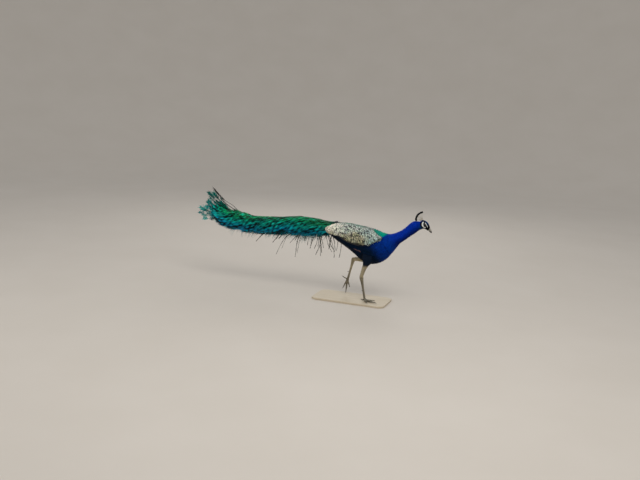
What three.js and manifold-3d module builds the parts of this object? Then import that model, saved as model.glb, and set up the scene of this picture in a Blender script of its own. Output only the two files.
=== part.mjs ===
// A peacock walking on its right foot, life size, as a still model on a flat display base.
// Millimetres, +Z up, +X the way the bird walks, +Y its left. The origin is the middle of the underside.
import * as THREE from "three";
import { mergeVertices } from "three/addons/utils/BufferGeometryUtils.js";
import Module from "manifold-3d";

const wasm = await Module();
wasm.setup();

// ---- driving dimensions ----
const gap = 0.3; // between neighbouring pieces
const headPitch = -43; // degrees that the bill points below the level
const eyePlace = { x: 360, z: 538 }; // the eyes' axis in the bird's middle plane
const eyeball = { radius: 7.2, forward: 0, up: 2, aside: 15.2 };
const crestFan = { feathers: 16, x: 343, z: 565, first: 97, last: 181, longest: 57, shortest: 44 };
const rightHock = new THREE.Vector3(-28, -42, 158);
const rightAnkle = new THREE.Vector3(1, -38, 13);
const leftHock = new THREE.Vector3(-114, 40, 256);
const leftAnkle = new THREE.Vector3(-147, 40, 112);
const spur = { back: 17, inward: 6, up: 3 }; // each spur's tip from the middle of its shank
const base = { front: 150, rear: -350, side: 125, corner: 40, thick: 12 };

// Sections of the body from the bill's root to the tail: [top x, top z, bottom x, bottom z, half width].
const neckSections = [
  [352, 548, 356, 516, 14],
  [332, 555, 338, 508, 22],
  [306, 560, 322, 496, 31],
  [277, 552, 299, 477, 34],
  [246, 521, 268, 453, 34.5],
  [210, 489, 237, 427, 36],
  [160, 463, 205, 401, 42],
  [119, 455, 181, 366, 54],
];
const trunkSections = [
  [82, 465, 152, 322, 68],
  [40, 471, 120, 285, 80],
  [0, 475, 76, 257, 87],
  [-45, 480, 28, 245, 90],
  [-98, 487, -28, 256, 89],
  [-148, 491, -84, 299, 84],
  [-198, 486, -145, 338, 72],
  [-244, 473, -206, 371, 54],
  [-282, 456, -256, 402, 32],
  [-300, 444, -288, 424, 12],
];
// Sections of the head along the bill's axis from the eyes: [forward, top, bottom, half width].
const headSections = [
  [-37, 4, -4, 4],
  [-33, 12, -14, 13],
  [-24, 18.5, -20, 18],
  [-10, 23.5, -23, 20.5],
  [4, 24, -22, 20],
  [18, 20.5, -18, 17],
  [29, 15.5, -12.5, 12.5],
  [36, 9, -8, 8],
];
const upperBillSections = [
  [22, 11, -2.2, 8],
  [33, 13, -2.2, 8],
  [42, 11.8, -2.6, 6.4],
  [52, 8.6, -3.4, 4.4],
  [60, 4.2, -4.2, 2.6],
  [65.5, -2.2, -6.2, 0.9],
];
const lowerBillSections = [
  [22, -2.8, -9.6, 7.6],
  [33, -2.8, -9.6, 7.2],
  [42, -3.2, -8.8, 5.4],
  [54, -4.2, -7.6, 3.2],
  [61.5, -5.4, -7, 1.2],
];
// The folded wings' cloak over the back: [x, top, bottom, half width], and each wing's outline in it.
const cloakSections = [
  [140, 455, 404, 56],
  [104, 467, 350, 86],
  [50, 477, 315, 98],
  [0, 485, 300, 105],
  [-50, 491, 300, 106],
  [-100, 497, 318, 103],
  [-150, 502, 338, 95],
  [-200, 500, 358, 84],
  [-250, 492, 386, 74],
  [-300, 478, 410, 66],
];
const wingEdge = [
  [-284, 474],
  [-285, 458],
  [-278, 442],
  [-250, 430],
  [-204, 426],
  [-166, 419],
  [-132, 401],
  [-84, 391],
  [-30, 385],
  [20, 392],
  [70, 412],
  [107, 434],
  [74, 450],
  [46, 466],
  [16, 486],
];
const primaryEdge = [
  [-16, 337],
  [-44, 334],
  [-84, 341],
  [-124, 359],
  [-96, 358],
  [-52, 350],
];
// The train's bundle of long feathers: [top x, top z, bottom x, bottom z, half width].
const trainSections = [
  [-176, 490, -200, 452, 16],
  [-232, 497, -256, 420, 42],
  [-310, 501, -322, 407, 58],
  [-407, 511, -402, 397, 72],
  [-520, 510, -520, 392, 80],
  [-662, 492, -642, 381, 85],
  [-825, 481, -802, 372, 86],
  [-922, 497, -906, 373, 82],
  [-986, 503, -1010, 384, 75],
  [-1044, 519, -1074, 400, 66],
  [-1084, 546, -1130, 432, 53],
  [-1114, 574, -1163, 478, 38],
  [-1140, 592, -1176, 524, 18],
];
const trainJoints = [-470, -850]; // where it is parted
const tipFan = { x: -1060, z: 470, spread: 46 };
// Each end feather's angle above the forward level and its reach from the fan's middle.
const tipFeathers = [
  [121, 190],
  [127, 174],
  [133, 186],
  [139, 205],
  [145, 182],
  [151, 190],
  [157, 170],
  [163, 192],
  [168, 190],
  [175, 206],
  [181, 160],
  [187, 122],
];
// Long bare shafts that stand off the bend of the train: [x, z] of their roots, middles and tips.
const bareShafts = [
  [[-946, 486], [-1052, 572], [-1158, 662]],
  [[-966, 486], [-1066, 566], [-1142, 640]],
];
const tailPlate = { front: -206, rear: -585, frontHalf: 22, rearHalf: 36, thick: 7, z: 441, slope: 3.6 };
const toes = [
  { name: "middle", length: 80, turn: 0, radius: 6.8, claw: 17 },
  { name: "inner", length: 54, turn: -34, radius: 6.1, claw: 13 },
  { name: "outer", length: 57, turn: 37, radius: 6.1, claw: 13 },
  { name: "hind", length: 23, radius: 5, claw: 13 },
];

// ---- solids ----
const degrees = Math.PI / 180;

function solidOf(geometry) {
  const bare = geometry.clone();
  for (const name of ["normal", "uv"]) bare.deleteAttribute(name);
  const merged = mergeVertices(bare, 1e-3);
  const make = (triVerts) =>
    new wasm.Manifold(
      new wasm.Mesh({
        numProp: 3,
        vertProperties: new Float32Array(merged.attributes.position.array),
        triVerts,
      }),
    );
  const triangles = new Uint32Array(merged.index.array);
  const solid = make(triangles);
  return solid.volume() > 0 ? solid : make(triangles.toReversed());
}

function geometryOf(solid) {
  const mesh = solid.getMesh();
  const places = new Float32Array(mesh.numVert * 3);
  for (let i = 0; i < mesh.numVert; i++) {
    for (let k = 0; k < 3; k++) places[i * 3 + k] = mesh.vertProperties[i * mesh.numProp + k];
  }
  const geometry = new THREE.BufferGeometry();
  geometry.setAttribute("position", new THREE.BufferAttribute(places, 3));
  geometry.setIndex(new THREE.BufferAttribute(mesh.triVerts, 1));
  geometry.computeVertexNormals();
  return geometry;
}

// A closed body through elliptic sections, each given by its highest and lowest point and its half width,
// with its sides pushed out by `grow`.
function loft(sections, { rings, sides, grow = 0 }) {
  const tops = new THREE.CatmullRomCurve3(
    sections.map(([topX, topZ, , , half]) => new THREE.Vector3(topX, half, topZ)),
  );
  const bottoms = new THREE.CatmullRomCurve3(
    sections.map(([, , bottomX, bottomZ]) => new THREE.Vector3(bottomX, 0, bottomZ)),
  );
  const tube = new THREE.CylinderGeometry(1, 1, 1, sides, rings);
  const spots = tube.attributes.position;
  for (let i = 0; i < spots.count; i++) {
    const t = 0.5 - spots.getY(i);
    const top = tops.getPoint(t);
    const bottom = bottoms.getPoint(t);
    const half = top.y + grow;
    top.y = 0;
    const middle = top.clone().add(bottom).multiplyScalar(0.5);
    const upright = top.clone().sub(middle);
    upright.setLength(upright.length() + grow);
    const place = middle.addScaledVector(upright, spots.getZ(i));
    spots.setXYZ(i, place.x, spots.getX(i) * half, place.z);
  }
  return solidOf(tube);
}

// A limb: round sections of given radius at points, widened across by `wide`.
function limb(points, radii, { rings, sides, wide = 1, grow = 0 }) {
  const path = new THREE.CatmullRomCurve3(points);
  const sizes = new THREE.CatmullRomCurve3(radii.map((r, i) => new THREE.Vector3(i, r, 0)));
  const tube = new THREE.CylinderGeometry(1, 1, 1, sides, rings);
  const spots = tube.attributes.position;
  for (let i = 0; i < spots.count; i++) {
    const t = 0.5 - spots.getY(i);
    const radius = sizes.getPoint(t).y + grow;
    const along = path.getTangent(t);
    const aside = new THREE.Vector3(0, 1, 0).addScaledVector(along, -along.y).normalize();
    const across = along.clone().cross(aside);
    const place = path
      .getPoint(t)
      .addScaledVector(aside, spots.getX(i) * radius * wide)
      .addScaledVector(across, spots.getZ(i) * radius);
    spots.setXYZ(i, place.x, place.y, place.z);
  }
  return solidOf(tube);
}

// Everything inside an outline in the XZ plane, from y0 to y1.
function slab(outline, y0, y1) {
  const settings = { depth: y1 - y0, bevelEnabled: false, curveSegments: 2 };
  const geometry = new THREE.ExtrudeGeometry(outline, settings);
  geometry.rotateX(Math.PI / 2).translate(0, y1, 0);
  return solidOf(geometry);
}

const largest = (solid) => solid.decompose().reduce((a, b) => (a.volume() > b.volume() ? a : b));
const upright = (rows) => rows.map(([x, top, bottom, half]) => [x, top, x, bottom, half]);
const lengthwise = (solid, from, to) =>
  solid.trimByPlane([-1, 0, 0], -from + gap / 2).trimByPlane([1, 0, 0], to + gap / 2);

// ---- the head's own frame: forward along the bill, up at right angles to it ----
const headTurn = new THREE.Matrix4()
  .makeTranslation(eyePlace.x, 0, eyePlace.z)
  .multiply(new THREE.Matrix4().makeRotationY(-headPitch * degrees));
const headPoint = (forward, up, aside = 0) => new THREE.Vector3(forward, aside, up).applyMatrix4(headTurn);
const turned = (rows) =>
  rows.map(([forward, top, bottom, half]) => {
    const [high, low] = [headPoint(forward, top), headPoint(forward, bottom)];
    return [high.x, high.z, low.x, low.z, half];
  });

// ---- the whole body, then parted by thin cuts ----
const bodyShape = { rings: 30, sides: 18 };
const headShape = { rings: 11, sides: 16 };
const skullWith = (grow) => loft(turned(headSections), { ...headShape, grow });
const bodyWith = (grow) => loft([...neckSections, ...trunkSections], { ...bodyShape, grow });
const eyeOf = (side, grow = 0) => {
  const place = headPoint(eyeball.forward, eyeball.up, side * eyeball.aside);
  const ball = new THREE.SphereGeometry(eyeball.radius + grow, 10, 6);
  return solidOf(ball.rotateX(Math.PI / 2).translate(place.x, place.y, place.z));
};

const grownBody = bodyWith(gap);
const whole = bodyWith(0).add(skullWith(0)).subtract(eyeOf(1, gap)).subtract(eyeOf(-1, gap));
// Each cut lies across the neck: a point on it and the way towards the head.
const cuts = [
  { x: 322, z: 528, towards: [0.93, 0, 0.37] },
  { x: 236, z: 474, towards: [0.8, 0, 0.6] },
  { x: 120, z: 410, towards: [0.86, 0, 0.5] },
];
const offset = (cut) => cut.towards[0] * cut.x + cut.towards[2] * cut.z;
const ahead = (solid, cut) => solid.trimByPlane(cut.towards, offset(cut) + gap / 2);
const behind = (solid, cut) =>
  solid.trimByPlane(
    cut.towards.map((v) => -v),
    -offset(cut) + gap / 2,
  );
const head = ahead(whole, cuts[0]);
const neckUpper = ahead(behind(whole, cuts[0]), cuts[1]);
const neckLower = ahead(behind(whole, cuts[1]), cuts[2]);
const trunk = behind(whole, cuts[2]);

// ---- bill, crest ----
const billShape = { rings: 6, sides: 10 };
const skullSkin = skullWith(gap);
const billUpper = loft(turned(upperBillSections), billShape).subtract(skullSkin);
const billLower = loft(turned(lowerBillSections), billShape).subtract(skullSkin);

const crestRoot = new THREE.Vector3(crestFan.x, 0, crestFan.z);
function crestFeather(i) {
  const share = i / (crestFan.feathers - 1);
  const angle = (crestFan.first + (crestFan.last - crestFan.first) * share) * degrees;
  const length = crestFan.longest + (crestFan.shortest - crestFan.longest) * share;
  const shaft = new THREE.BoxGeometry(length, 1, 1).translate(length / 2, 0, 0);
  const tip = new THREE.SphereGeometry(1, 7, 2).scale(6, 1.3, 3.9).translate(length, 0, 0);
  return [shaft, tip].map((piece) => {
    piece.rotateZ((i % 2 ? 3 : -3) * degrees).rotateY(-angle).translate(...crestRoot);
    return solidOf(piece);
  });
}
let crest = solidOf(new THREE.SphereGeometry(7, 6, 3).translate(...crestRoot));
for (let i = 0; i < crestFan.feathers; i++) {
  for (const piece of crestFeather(i)) crest = crest.add(piece);
}
crest = largest(crest.subtract(skullSkin).subtract(grownBody));

// ---- train and tail ----
const trainShape = { rings: 19, sides: 16 };
const grownTrain = loft(trainSections, { ...trainShape, grow: gap });
// The tail proper is a flat fan in the hollow underside of the train.
function tailOf(grow, depth) {
  const { front, rear, frontHalf, rearHalf } = tailPlate;
  const plan = new THREE.Shape()
    .moveTo(front + grow, -frontHalf - grow)
    .lineTo(front + grow, frontHalf + grow)
    .lineTo(rear + 60, rearHalf + grow)
    .quadraticCurveTo(rear - grow, rearHalf + grow, rear - grow, 0)
    .quadraticCurveTo(rear - grow, -rearHalf - grow, rear + 60, -rearHalf - grow);
  const settings = { depth: depth + grow, bevelEnabled: false, curveSegments: 5 };
  const plate = new THREE.ExtrudeGeometry(plan, settings);
  plate.translate(0, 0, -depth).rotateY(-tailPlate.slope * degrees).translate(0, 0, tailPlate.z);
  return solidOf(plate);
}
let train = loft(trainSections, trainShape).subtract(grownBody).subtract(tailOf(gap, 90));
tipFeathers.forEach(([turn, reach], i) => {
  const angle = turn * degrees;
  const aside = tipFan.spread * Math.sin(i * 2.4);
  const along = new THREE.Vector3(Math.cos(angle), 0, Math.sin(angle));
  const tip = new THREE.Vector3(tipFan.x, aside, tipFan.z).addScaledVector(along, reach);
  const root = new THREE.Vector3(tipFan.x + 24, aside * 0.4, tipFan.z + 22 - 2.6 * i);
  const shaft = limb([root, tip], [2.4, 1.5], { rings: 1, sides: 4 });
  // A fishtail: two horns that spread from the shaft's end.
  const horns = new THREE.Shape()
    .moveTo(-20, -3)
    .quadraticCurveTo(-8, -9, 10, -15)
    .lineTo(-2, 0)
    .lineTo(10, 15)
    .quadraticCurveTo(-8, 9, -20, 3);
  const fish = new THREE.ExtrudeGeometry(horns, { depth: 1.6, bevelEnabled: false, curveSegments: 1 });
  fish.translate(0, 0, -0.8).rotateX(Math.PI / 2).rotateY(-angle).translate(tip.x, tip.y, tip.z);
  train = train.add(shaft).add(solidOf(fish));
});
bareShafts.forEach((places, i) => {
  const points = places.map(([x, z]) => new THREE.Vector3(x, 14 * i - 10, z));
  train = train.add(limb(points, [2, 1.8, 1], { rings: 4, sides: 4 }));
});
const trainBase = lengthwise(train, -100, trainJoints[0]);
const trainMiddle = lengthwise(train, trainJoints[0], trainJoints[1]);
const trainEnd = lengthwise(train, trainJoints[1], -1400);
const tail = tailOf(0, tailPlate.thick).subtract(grownBody);

// ---- wings ----
const edgeShape = (edge) => {
  const [first, ...rest] = edge.map(([x, z]) => new THREE.Vector2(x, z));
  return new THREE.Shape().moveTo(first.x, first.y).splineThru(rest);
};
const cloakWith = (grow) => loft(upright(cloakSections), { rings: 13, sides: 20, grow });
const wingShape = edgeShape(wingEdge);
wingShape.lineTo(10, 530).lineTo(-284, 530);
const wingSolid = cloakWith(0).intersect(slab(wingShape, -200, 200)).subtract(grownBody).subtract(grownTrain);
const primaries = edgeShape(primaryEdge);
const primarySolid = bodyWith(4).intersect(slab(primaries, -200, 200)).subtract(grownBody);
const half = (solid, side) => largest(solid.trimByPlane([0, side, 0], gap / 2));

// ---- legs ----
const limbShape = { rings: 11, sides: 10 };
// Each row: a point in the middle of the thigh and its radius, from the knee to the hock.
const thighOf = (rows, shankRoom) =>
  limb(
    rows.map(([x, y, z]) => new THREE.Vector3(x, y, z)),
    rows.map(([, , , radius]) => radius),
    limbShape,
  )
    .subtract(grownBody)
    .subtract(shankRoom);
function shankOf(hock, ankle, grow = 0) {
  const at = (share) => hock.clone().lerp(ankle, share);
  const points = [-0.06, 0.02, 0.1, 0.26, 0.6, 0.93].map(at);
  return limb(points, [9.4, 14.2, 12.6, 9.4, 7.4, 8.4], { rings: 9, sides: 8, wide: 0.84, grow });
}

// Toes in the foot's own frame: the ankle at the origin, the middle toe along +X.
// The hind toe dips below the others by an angle of its own.
function toeParts(toe, curl, dip) {
  const slope = toe.name === "hind" ? dip * degrees : 0;
  const heading = new THREE.Vector3(Math.cos(toe.turn * degrees), Math.sin(toe.turn * degrees), 0)
    .multiplyScalar(Math.cos(slope))
    .add(new THREE.Vector3(0, 0, -Math.sin(slope)));
  const drop = (share) => new THREE.Vector3(0, 0, -5.5 * Math.min(1, share * 4) - curl * share * share);
  const at = (share) => heading.clone().multiplyScalar(toe.length * share).add(drop(share));
  const radii = [toe.radius * 1.12, toe.radius, toe.radius * 0.9, 3.6];
  const digit = limb([0, 0.34, 0.68, 1].map(at), radii, { rings: 4, sides: 6 });
  const root = at(1).addScaledVector(heading, 3.5);
  const tip = at(1).addScaledVector(heading, 3.5 + toe.claw);
  tip.z -= 2.6 + curl * 0.2;
  const middle = root.clone().lerp(tip, 0.5).add(new THREE.Vector3(0, 0, 1.8));
  const claw = limb([root, middle, tip], [3, 2.3, 0.5], { rings: 2, sides: 6 });
  return { digit, claw };
}
function footOf(side, place, turn, { curl, dip, spread, hind }) {
  const frame = new THREE.Matrix4().makeRotationFromEuler(turn).setPosition(place);
  let foot = solidOf(new THREE.SphereGeometry(10.6, 8, 5).scale(1, 0.9, 0.85));
  const claws = {};
  for (const toe of toes) {
    const around = toe.name === "hind" ? hind : toe.turn * spread;
    const { digit, claw } = toeParts({ ...toe, turn: around * side }, curl, dip);
    foot = foot.add(digit);
    claws[toe.name] = claw;
  }
  for (const name in claws) claws[name] = claws[name].subtract(foot).transform(frame.elements);
  return { foot: foot.transform(frame.elements), claws };
}

const rightThighRows = [
  [22, -60, 322, 42],
  [15, -60, 290, 40],
  [6, -56, 264, 29],
  [-2, -51, 244, 18.5],
  [-9, -48, 226, 15.6],
  [-17, -46, 203, 13.2],
  [-25, -43, 176, 12.2],
  [-27.5, -42, 166, 12.2],
];
const leftThighRows = [
  [50, 54, 286, 33],
  [8, 52, 274, 30],
  [-36, 45, 263, 21],
  [-70, 41, 258, 14.8],
  [-93, 40, 257, 12.8],
  [-105, 40, 257, 12.4],
];
const rightThigh = thighOf(rightThighRows, shankOf(rightHock, rightAnkle, gap));
const leftThigh = thighOf(leftThighRows, shankOf(leftHock, leftAnkle, gap));
function spurOf(hock, ankle, side) {
  const root = hock.clone().lerp(ankle, 0.64);
  const tip = new THREE.Vector3(-spur.back, -side * spur.inward, spur.up).add(root);
  return limb([root, tip], [3.4, 0.6], { rings: 2, sides: 6 }).subtract(shankOf(hock, ankle, gap));
}
const rightShank = shankOf(rightHock, rightAnkle);
const leftShank = shankOf(leftHock, leftAnkle);
const planted = new THREE.Euler(0, 0, -22 * degrees);
const rightFoot = footOf(-1, rightAnkle, planted, { curl: 0, dip: 5, spread: 1, hind: -172 });
const hanging = new THREE.Euler(0, 91 * degrees, -32 * degrees, "ZYX");
const leftFoot = footOf(1, leftAnkle, hanging, { curl: 6, dip: 55, spread: 0.75, hind: -135 });

// ---- base ----
const plate = new THREE.Shape()
  .moveTo(base.front, base.corner - base.side)
  .lineTo(base.front, base.side - base.corner)
  .absarc(base.front - base.corner, base.side - base.corner, base.corner, 0, Math.PI / 2)
  .absarc(base.rear + base.corner, base.side - base.corner, base.corner, Math.PI / 2, Math.PI)
  .absarc(base.rear + base.corner, base.corner - base.side, base.corner, Math.PI, Math.PI * 1.5)
  .absarc(base.front - base.corner, base.corner - base.side, base.corner, -Math.PI / 2, 0);
const plateSettings = { depth: base.thick, bevelEnabled: false, curveSegments: 4 };
const standBase = new THREE.ExtrudeGeometry(plate, plateSettings);

// ---- the scene graph ----
const bird = new THREE.Group();
const finish = (color, roughness, metalness = 0) =>
  new THREE.MeshStandardMaterial({ color, roughness, metalness });
const finishes = {
  blue: finish(0x0a35a8, 0.5, 0.3),
  green: finish(0x0c6b46, 0.5, 0.3),
  barred: finish(0xb9ae95, 0.8),
  chestnut: finish(0x7c3f1c, 0.8),
  buff: finish(0xa88f6b, 0.85),
  scale: finish(0x8f8270, 0.6),
  horn: finish(0x5f584c, 0.4),
  eye: finish(0x1a0f08, 0.1),
  brown: finish(0x5b5142, 0.8),
  dark: finish(0x071a24, 0.6, 0.2),
  stone: finish(0xb9aea0, 0.8),
};
function add(name, solid, material) {
  const mesh = new THREE.Mesh(solid.isBufferGeometry ? solid : geometryOf(solid), finishes[material]);
  mesh.name = name;
  bird.add(mesh);
  return mesh;
}
add("head", head, "blue");
add("bill_upper", billUpper, "horn");
add("bill_lower", billLower, "horn");
add("crest", crest, "blue");
add("neck_upper", neckUpper, "blue");
add("neck_lower", neckLower, "blue");
add("trunk", trunk, "dark");
add("train_base", trainBase, "green");
add("train_middle", trainMiddle, "green");
add("train_end", trainEnd, "green");
add("tail", tail, "brown");
for (const [name, side] of [["left", 1], ["right", -1]]) {
  add("eye_" + name, eyeOf(side), "eye");
  add("wing_" + name, half(wingSolid, side), "barred");
  add("primaries_" + name, half(primarySolid, side), "chestnut");
}
add("thigh_right", rightThigh, "buff");
add("thigh_left", leftThigh, "buff");
add("shank_right", rightShank, "scale");
add("shank_left", leftShank, "scale");
add("spur_right", spurOf(rightHock, rightAnkle, -1), "horn");
add("spur_left", spurOf(leftHock, leftAnkle, 1), "horn");
for (const [name, { foot, claws }] of [["right", rightFoot], ["left", leftFoot]]) {
  add("foot_" + name, foot, "scale");
  for (const toe in claws) add("claw_" + toe + "_" + name, claws[toe], "horn");
}
add("stand_base", standBase, "stone").position.z = -base.thick;

const box = new THREE.Box3().setFromObject(bird);
const middle = box.getCenter(new THREE.Vector3());
bird.position.set(-middle.x, -middle.y, -box.min.z);
const peacock = new THREE.Group();
peacock.add(bird);

export default peacock;
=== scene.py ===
import math
import bpy
import bmesh
import numpy as np
from mathutils import Matrix, Vector
from mathutils.bvhtree import BVHTree


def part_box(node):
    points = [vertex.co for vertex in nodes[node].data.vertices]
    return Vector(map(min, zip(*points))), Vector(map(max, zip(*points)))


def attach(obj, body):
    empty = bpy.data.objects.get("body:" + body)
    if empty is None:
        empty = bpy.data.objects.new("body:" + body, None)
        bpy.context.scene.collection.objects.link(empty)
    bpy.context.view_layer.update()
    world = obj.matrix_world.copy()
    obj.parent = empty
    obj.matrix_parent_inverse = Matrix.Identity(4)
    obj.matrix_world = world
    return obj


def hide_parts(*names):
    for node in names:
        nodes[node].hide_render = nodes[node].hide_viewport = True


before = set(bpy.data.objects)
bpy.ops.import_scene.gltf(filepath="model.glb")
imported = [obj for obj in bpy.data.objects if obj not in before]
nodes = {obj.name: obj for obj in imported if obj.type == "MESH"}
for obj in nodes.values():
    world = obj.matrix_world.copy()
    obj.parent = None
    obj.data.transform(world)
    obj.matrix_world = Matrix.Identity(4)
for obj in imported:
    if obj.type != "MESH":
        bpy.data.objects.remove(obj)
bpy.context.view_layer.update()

# The bird's own measures are in millimetres from the spot under its planted ankle, on the board's top.
boardAhead = 0.150  # metres of board in front of that ankle
boardLow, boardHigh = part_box("stand_base")
birdOrigin = np.array([boardHigh.x - boardAhead, 0.0, boardHigh.z])


def toRow(places):
    return np.asarray(places, float) / 1000 + birdOrigin


def toBird(places):
    return (np.asarray(places, float) - birdOrigin) * 1000


def paint(red, green, blue):  # a screen colour as linear light
    shares = np.array([red, green, blue]) / 255
    return np.where(shares < 0.04045, shares / 12.92, ((shares + 0.055) / 1.055) ** 2.4)


def ease(values, low, high):
    share = np.clip((np.asarray(values, float) - low) / (high - low), 0, 1)
    return share * share * (3 - 2 * share)


def blend(first, second, share):
    share = np.asarray(share, float)[..., None]
    return first * (1 - share) + second * share


def unit(vectors):
    return vectors / np.maximum(np.linalg.norm(vectors, axis=-1, keepdims=True), 1e-9)


def ripple(places, size, seed):  # smooth noise of about -1 to 1 with lumps of about this size
    random = np.random.default_rng(seed)
    total = 0
    for _ in range(8):
        wave = unit(random.normal(size=3)) * random.uniform(0.6, 1.5) * math.tau / size / 2
        total = total + np.sin(places @ wave + random.uniform(0, math.tau))
    return total / 2.6


def spline(rows, shares):  # a smooth curve through rows of numbers, at shares of its length
    rows = np.asarray(rows, float)
    at = np.clip(np.asarray(shares, float), 0, 1) * (len(rows) - 1)
    i = np.minimum(at.astype(int), len(rows) - 2)
    t = (at - i)[..., None]
    p0, p1, p2, p3 = (rows[np.clip(i + k, 0, len(rows) - 1)] for k in (-1, 0, 1, 2))
    square, cube = 2 * p0 - 5 * p1 + 4 * p2 - p3, 3 * p1 - p0 - 3 * p2 + p3
    return 0.5 * (2 * p1 + (p2 - p0) * t + square * t**2 + cube * t**3)


def reachOf(line):  # how far along each place on a line is
    return np.concatenate([[0], np.cumsum(np.linalg.norm(np.diff(line, axis=0), axis=1))])


# materials
class Wire:  # one value in a material, which sums can be written with
    def __init__(self, tree, socket):
        self.tree = tree
        self.socket = socket

    def node(self, kind, settings=None, output=0, **inputs):
        made = self.tree.nodes.new("ShaderNode" + kind)
        for name, value in (settings or {}).items():
            setattr(made, name, value)
        for name, value in inputs.items():
            key = int(name[1:]) if name[1:].isdigit() else name.replace("_", " ")
            self.plug(made.inputs[key], value)
        return Wire(self.tree, made.outputs[output])

    def plug(self, socket, value):
        if isinstance(value, Wire):
            self.tree.links.new(value.socket, socket)
        else:
            socket.default_value = value

    def math(self, operation, a, b=0.0):
        return self.node("Math", {"operation": operation}, i0=a, i1=b)

    def wave(self):
        return self.math("SINE", self)

    def size(self):
        return self.math("ABSOLUTE", self)

    def between(self, low, high):  # 0 at low, 1 at high, and smooth between
        kind = {"interpolation_type": "SMOOTHSTEP"}
        return self.node("MapRange", kind, Value=self, From_Min=low, From_Max=high)

    def pick(self, first, second):  # first where this is 0, second where it is 1
        return self.node("Mix", {"data_type": "RGBA"}, 2, i0=self, i6=first, i7=second)

    def times(self, other):  # a colour multiplied by a number
        return self.node("VectorMath", {"operation": "SCALE"}, i0=self, i3=other)

    def part(self, index):
        return self.node("SeparateXYZ", None, index, Vector=self)


for sign, operation in {"add": "ADD", "sub": "SUBTRACT", "mul": "MULTIPLY", "pow": "POWER"}.items():
    setattr(Wire, "__%s__" % sign, lambda self, other, kind=operation: self.math(kind, self, other))
    setattr(Wire, "__r%s__" % sign, lambda self, other, kind=operation: self.math(kind, other, self))


def tint(red, green, blue):  # a screen colour for a socket
    return (*[float(share) for share in paint(red, green, blue)], 1.0)


def material(name, build, **settings):
    made = bpy.data.materials.new(name)
    made.use_nodes = True
    shader = made.node_tree.nodes["Principled BSDF"]
    start = Wire(made.node_tree, None)
    for key, value in settings.items():
        shader.inputs[key.replace("_", " ")].default_value = value
    for key, value in build(start).items():
        if key == "height":
            value, depth = value
            value = start.node("Bump", None, Height=value, Distance=depth, Strength=1.0)
            key = "Normal"
        start.plug(shader.inputs[key.replace("_", " ")], value)
    return made


def objectPlace(start):
    return start.node("TexCoord", None, 3)


def plumeOf(start, output=0):  # the colour painted on the points, or with 3 its last number
    return start.node("Attribute", {"attribute_name": "plume"}, output)


def grain(start, size, detail=3.0, vector=None):
    place = vector or objectPlace(start)
    return start.node("TexNoise", None, Vector=place, Scale=1 / size, Detail=detail, Roughness=0.55)


def stretched(start, scale, size=1.0, detail=3.0, turn=0.0, bend=0.0):  # grain drawn out along an axis
    way = start.node("Mapping", None, Vector=objectPlace(start), Rotation=(0, turn, 0), Scale=scale)
    return start.node("TexNoise", None, Vector=way, Scale=size, Detail=detail, Distortion=bend)


def offsetFrom(start, centre):  # how far ahead of a place and above it, in metres
    centre = [float(value) for value in toRow(centre)]
    offset = start.node("VectorMath", {"operation": "SUBTRACT"}, i0=objectPlace(start), i1=centre)
    return offset.part(0), offset.part(2)


def featherFinish(name, barbs, dapple, relief, rough=0.5, **settings):
    def build(start):
        vane = start.node("UVMap", {"uv_map": "vane"})
        along, across = vane.part(0), vane.part(1)
        barb = ((along - across.size() * 0.55) * (barbs * math.tau)).wave()
        mottle = grain(start, 0.006)
        shade = 1 + (mottle - 0.5) * (dapple * 2) + barb * 0.1
        return {
            "Base_Color": plumeOf(start).times(shade), "Roughness": rough + (mottle - 0.5) * 0.25,
            "height": (barb * 0.5 + mottle, relief),
        }

    return material(name, build, **settings)


def plainFinish(name, size, detail, dark, gain, rough, uneven, relief, broad=0.0):  # only a fine grain
    def build(start):
        fine = grain(start, size, detail)
        shade = dark + fine * gain
        if broad:
            shade = shade + grain(start, 0.009, 2.0) * broad
        return {
            "Base_Color": plumeOf(start).times(shade), "Roughness": rough + (fine - 0.5) * uneven,
            "height": (fine, relief),
        }

    return material(name, build)


# objects and meshes
def linked(name, data):
    made = bpy.data.objects.new(name, data)
    bpy.context.scene.collection.objects.link(made)
    return made


def pieceFrom(name, shape):  # an object made of a bmesh
    mesh = bpy.data.meshes.new(name)
    shape.to_mesh(mesh)
    shape.free()
    return linked(name, mesh)


def finishPiece(piece, replaced, finish):
    piece.data.materials.append(finish)
    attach(piece, "root")
    if replaced:
        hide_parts(*replaced)


def fetched(items, field, width, kind=np.float32):  # one field of many parts of a mesh, a row for each
    values = np.empty(len(items) * width, kind)
    items.foreach_get(field, values)
    return values.reshape(-1, width)


def spotsOf(mesh):
    return fetched(mesh.vertices, "co", 3).astype(float)


def normalsOf(mesh):
    return fetched(mesh.vertex_normals, "vector", 3).astype(float)


def edgesOf(mesh):
    return fetched(mesh.edges, "vertices", 2, np.int32)


def cornersOf(mesh):
    mesh.calc_loop_triangles()
    return fetched(mesh.loop_triangles, "vertices", 3, np.int32)


def setSpots(mesh, spots):
    mesh.vertices.foreach_set("co", spots.astype(np.float32).ravel())
    mesh.update()


def setSmooth(mesh):
    mesh.polygons.foreach_set("use_smooth", np.ones(len(mesh.polygons), bool))


def setColours(mesh, name, colours):
    layer = mesh.color_attributes.new(name, "FLOAT_COLOR", "POINT")
    layer.data.foreach_set("color", colours.astype(np.float32).ravel())


def setPlume(mesh, plume):
    filled = np.ones((len(plume), 4))
    filled[:, : plume.shape[1]] = np.clip(plume, 0, 1)
    setColours(mesh, "plume", filled)


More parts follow.
